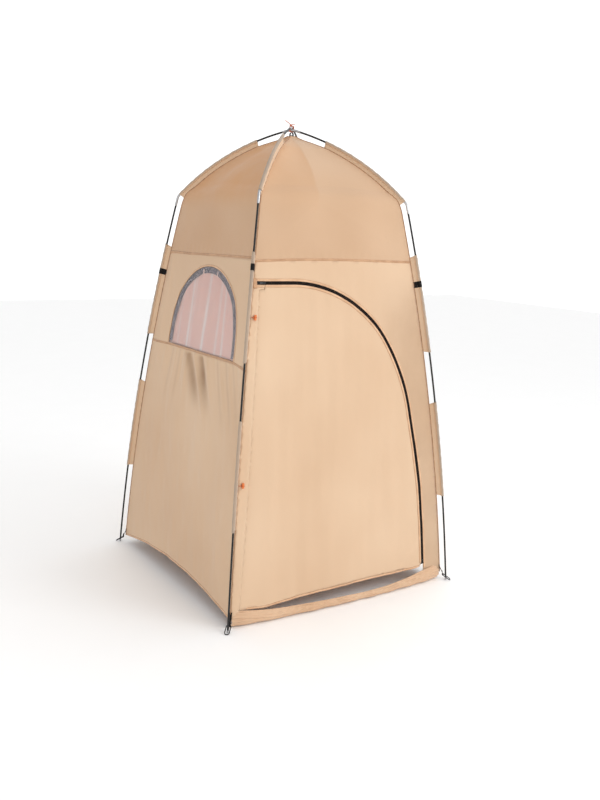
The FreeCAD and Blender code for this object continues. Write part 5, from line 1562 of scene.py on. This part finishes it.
# apex: a webbing loop on the canopy's tip and a cord wound twice round the crossing tubes
apex_z = 2.0675
loop_path = [(x, 0, apex_z + rise) for x, rise in (
    (0.0075, 0), (0.0078, 0.006), (0.0050, 0.0115), (0.0, 0.0132), (-0.0050, 0.0115),
    (-0.0078, 0.006), (-0.0075, 0))]
webbing_loop = flat_strip("apex_webbing", loop_path, np.array([0.0, 1.0, 0.0]), 0.012, 0.0014)
paint(webbing_loop, "webbing")
patch_angle = np.linspace(0, 2 * math.pi, 48, endpoint=False)
patch_rows = []
for r, z in ((0.0005, apex_z + 0.0016), (0.0045, apex_z + 0.0015), (0.0098, apex_z - 0.0002),
             (0.0118, apex_z - 0.0018), (0.0110, apex_z - 0.0026), (0.0005, apex_z - 0.0012)):
    patch_rows.append(np.stack([r * np.cos(patch_angle), r * np.sin(patch_angle),
                                np.full(48, z)], axis=1))
patch_points = np.array(patch_rows)
patch_uv = np.stack([np.tile(patch_angle * 0.01, 6), np.repeat(np.arange(6) * 0.004, 48)], axis=1)
patch_faces = [tuple(f) for f in grid_faces(6, 48, wrap_cols=True)]
patch_faces += [tuple(range(48)), tuple(5 * 48 + k for k in range(48))[::-1]]
patch = new_mesh("patch", patch_points.reshape(-1, 3), patch_faces, uv=patch_uv)
fix_normals(patch)
paint(patch, "webbing")
apex_loop = join("apex_webbing_loop", [webbing_loop, patch])
settle(apex_loop, None, nodes=["apex_loop"])

CORD = 0.0016
TOP, LOW = 2.1025 + 0.0055 + CORD + 0.0006, 2.091 - 0.0055 - CORD - 0.0003


def wrap(y, half, seed):
    """One closed turn of the cord round both tubes."""
    r = 0.005
    points = []
    for cx, cz, a0 in ((-half + r, TOP - r, 180), (half - r, TOP - r, 90), (half - r, LOW + r, 0),
                       (-half + r, LOW + r, -90)):
        for a in np.linspace(a0, a0 - 90, 5):
            rad = math.radians(a)
            points.append((cx + r * math.cos(rad), y + 0.0004 * math.sin(seed + a / 40),
                           cz + r * math.sin(rad)))
    return np.array(points)


tie_parts = [
    tube("turn", wrap(0.0018, 0.0104, 1), CORD, sides=10, step=0.0014, closed=True),
    tube("turn", wrap(-0.0018, 0.0102, 4), CORD, sides=10, step=0.0014, closed=True),
]
knot = np.array((-0.003, 0.002, TOP + 0.0040))
angles = np.linspace(0, 2 * math.pi, 40, endpoint=False)
trefoil = np.stack([
    (np.sin(angles) + 2 * np.sin(2 * angles)), (np.cos(angles) - 2 * np.cos(2 * angles)),
    -1.3 * np.sin(3 * angles)], axis=1) * 0.00165
tie_parts.append(tube("knot", trefoil + knot, CORD * 1.05, sides=10, step=0.0012, closed=True))
way, short = unit(np.array([(-0.62, 0.5, 0.60), (0.75, -0.6, 0.25)]))
tail = [knot, knot + way * 0.010 + (0, 0, 0.0012), knot + way * 0.021 + (0, 0.0008, 0.0008),
        knot + way * 0.033]
tie_parts.append(tube("tail", tail, CORD, sides=10, step=0.0014,
                      taper=([0, 0.85, 1], [1, 1, 1.25])))
stub = [knot, knot + short * 0.008 + (0, 0, 0.0014), knot + short * 0.0195]
tie_parts.append(tube("stub", stub, CORD * 0.9, sides=10, step=0.0014))
for part in tie_parts:
    paint(part, "orange")
apex_tie = join("apex_cord_tie", tie_parts)
settle(apex_tie, None, nodes=["apex_tie"])

# ---------------------------------------------------------------------------
# Materials of the hard parts that stay as they are
# ---------------------------------------------------------------------------

for name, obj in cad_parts.items():
    if obj.hide_render:
        continue
    if name.startswith(("leg_", "roof_pole")) and name != "leg_ferrules":
        key = "fibreglass"
    elif name.startswith(("shoulder", "apex_tube")) or name in ("leg_ferrules", "foot_tips"):
        key = "silver"
    elif name == "shock_cords":
        key = "elastic"
    elif name in ("zip_slider", "zip_pull", "zip_stops"):
        key = "slider"
    else:
        key = "dark"
    for i in range(max(1, len(obj.material_slots))):
        if i < len(obj.material_slots):
            obj.material_slots[i].material = MATS[key]
        else:
            obj.data.materials.append(MATS[key])

# ---------------------------------------------------------------------------
# Floor, light and camera
# ---------------------------------------------------------------------------

FLOOR_REACH = 14.0
ticks = np.linspace(-FLOOR_REACH, FLOOR_REACH, 9)
fx, fy = np.meshgrid(ticks, ticks)
floor = new_mesh("floor", np.stack([fx.ravel(), fy.ravel(), np.full(fx.size, -0.0004)], axis=1),
                 grid_faces(9, 9))
s = Shader("floor")
place = s.place()
grain = s.noise(place, 3.0, 3.0)
tone = s.mix(s.ramp(grain, 0.3, 0.7), (0.99, 0.99, 0.99, 1), (1.0, 1.0, 1.0, 1))
floor.data.materials.append(s.finish(s.skin(tone, s.ramp(grain, 0.3, 0.7, 0.6, 0.7))))

world = bpy.data.worlds.new("studio")
bpy.context.scene.world = world
world.use_nodes = True
nodes, links = world.node_tree.nodes, world.node_tree.links
background = nodes["Background"]
background.inputs[0].default_value = (1.0, 1.0, 1.0, 1)
# the studio is white all round, with less light from high on the left
way = nodes.new("ShaderNodeTexCoord").outputs["Generated"]
dot = nodes.new("ShaderNodeVectorMath")
dot.operation = "DOT_PRODUCT"
dot.inputs[1].default_value = Vector((-0.80, 0.10, 0.59)).normalized()
links.new(way, dot.inputs[0])
level = nodes.new("ShaderNodeMapRange")
level.inputs["From Min"].default_value = 0.05
level.inputs["From Max"].default_value = 0.90
level.inputs["To Min"].default_value = 1.20
level.inputs["To Max"].default_value = 0.66
links.new(dot.outputs["Value"], level.inputs["Value"])
links.new(level.outputs[0], background.inputs[1])


def area_light(name, place, target, size, power, colour):
    light = bpy.data.lights.new(name, "AREA")
    light.shape = "RECTANGLE"
    light.size, light.size_y = size
    light.energy = power
    light.color = colour
    obj = bpy.data.objects.new(name, light)
    bpy.context.scene.collection.objects.link(obj)
    obj.location = place
    aim = Vector(target) - Vector(place)
    obj.rotation_euler = aim.to_track_quat("-Z", "Y").to_euler()
    return obj


area_light("key", (2.6, -4.4, 3.6), (0, 0, 1.0), (2.6, 2.6), 84, (0.98, 1.0, 1.02))
area_light("fill", (-4.8, -1.4, 0.9), (0, 0, 0.8), (2.4, 1.4), 16, (1.0, 0.98, 0.96))
area_light("top", (-0.5, 0.8, 5.2), (0, 0, 1.0), (3.5, 3.5), 8, (1.0, 1.0, 1.0))

camera_data = bpy.data.cameras.new("camera")
camera = bpy.data.objects.new("camera", camera_data)
bpy.context.scene.collection.objects.link(camera)
camera_data.lens = 39.28
camera_data.sensor_width = 36.0
camera_data.sensor_fit = "AUTO"
ahead = Vector((0.53642, 0.82082, -0.19621)).normalized()
right = ahead.cross(Vector((0, 0, 1))).normalized()
upward = right.cross(ahead)
ROLL = 0.0391
turned_right = right * math.cos(ROLL) + upward * math.sin(ROLL)
turned_up = upward * math.cos(ROLL) - right * math.sin(ROLL)
turn = Matrix((turned_right, turned_up, -ahead)).transposed().to_4x4()
camera.matrix_world = Matrix.Translation((-2.2155, -3.5489, 1.6649)) @ turn
bpy.context.scene.camera = camera
bpy.context.scene.view_settings.view_transform = "Standard"
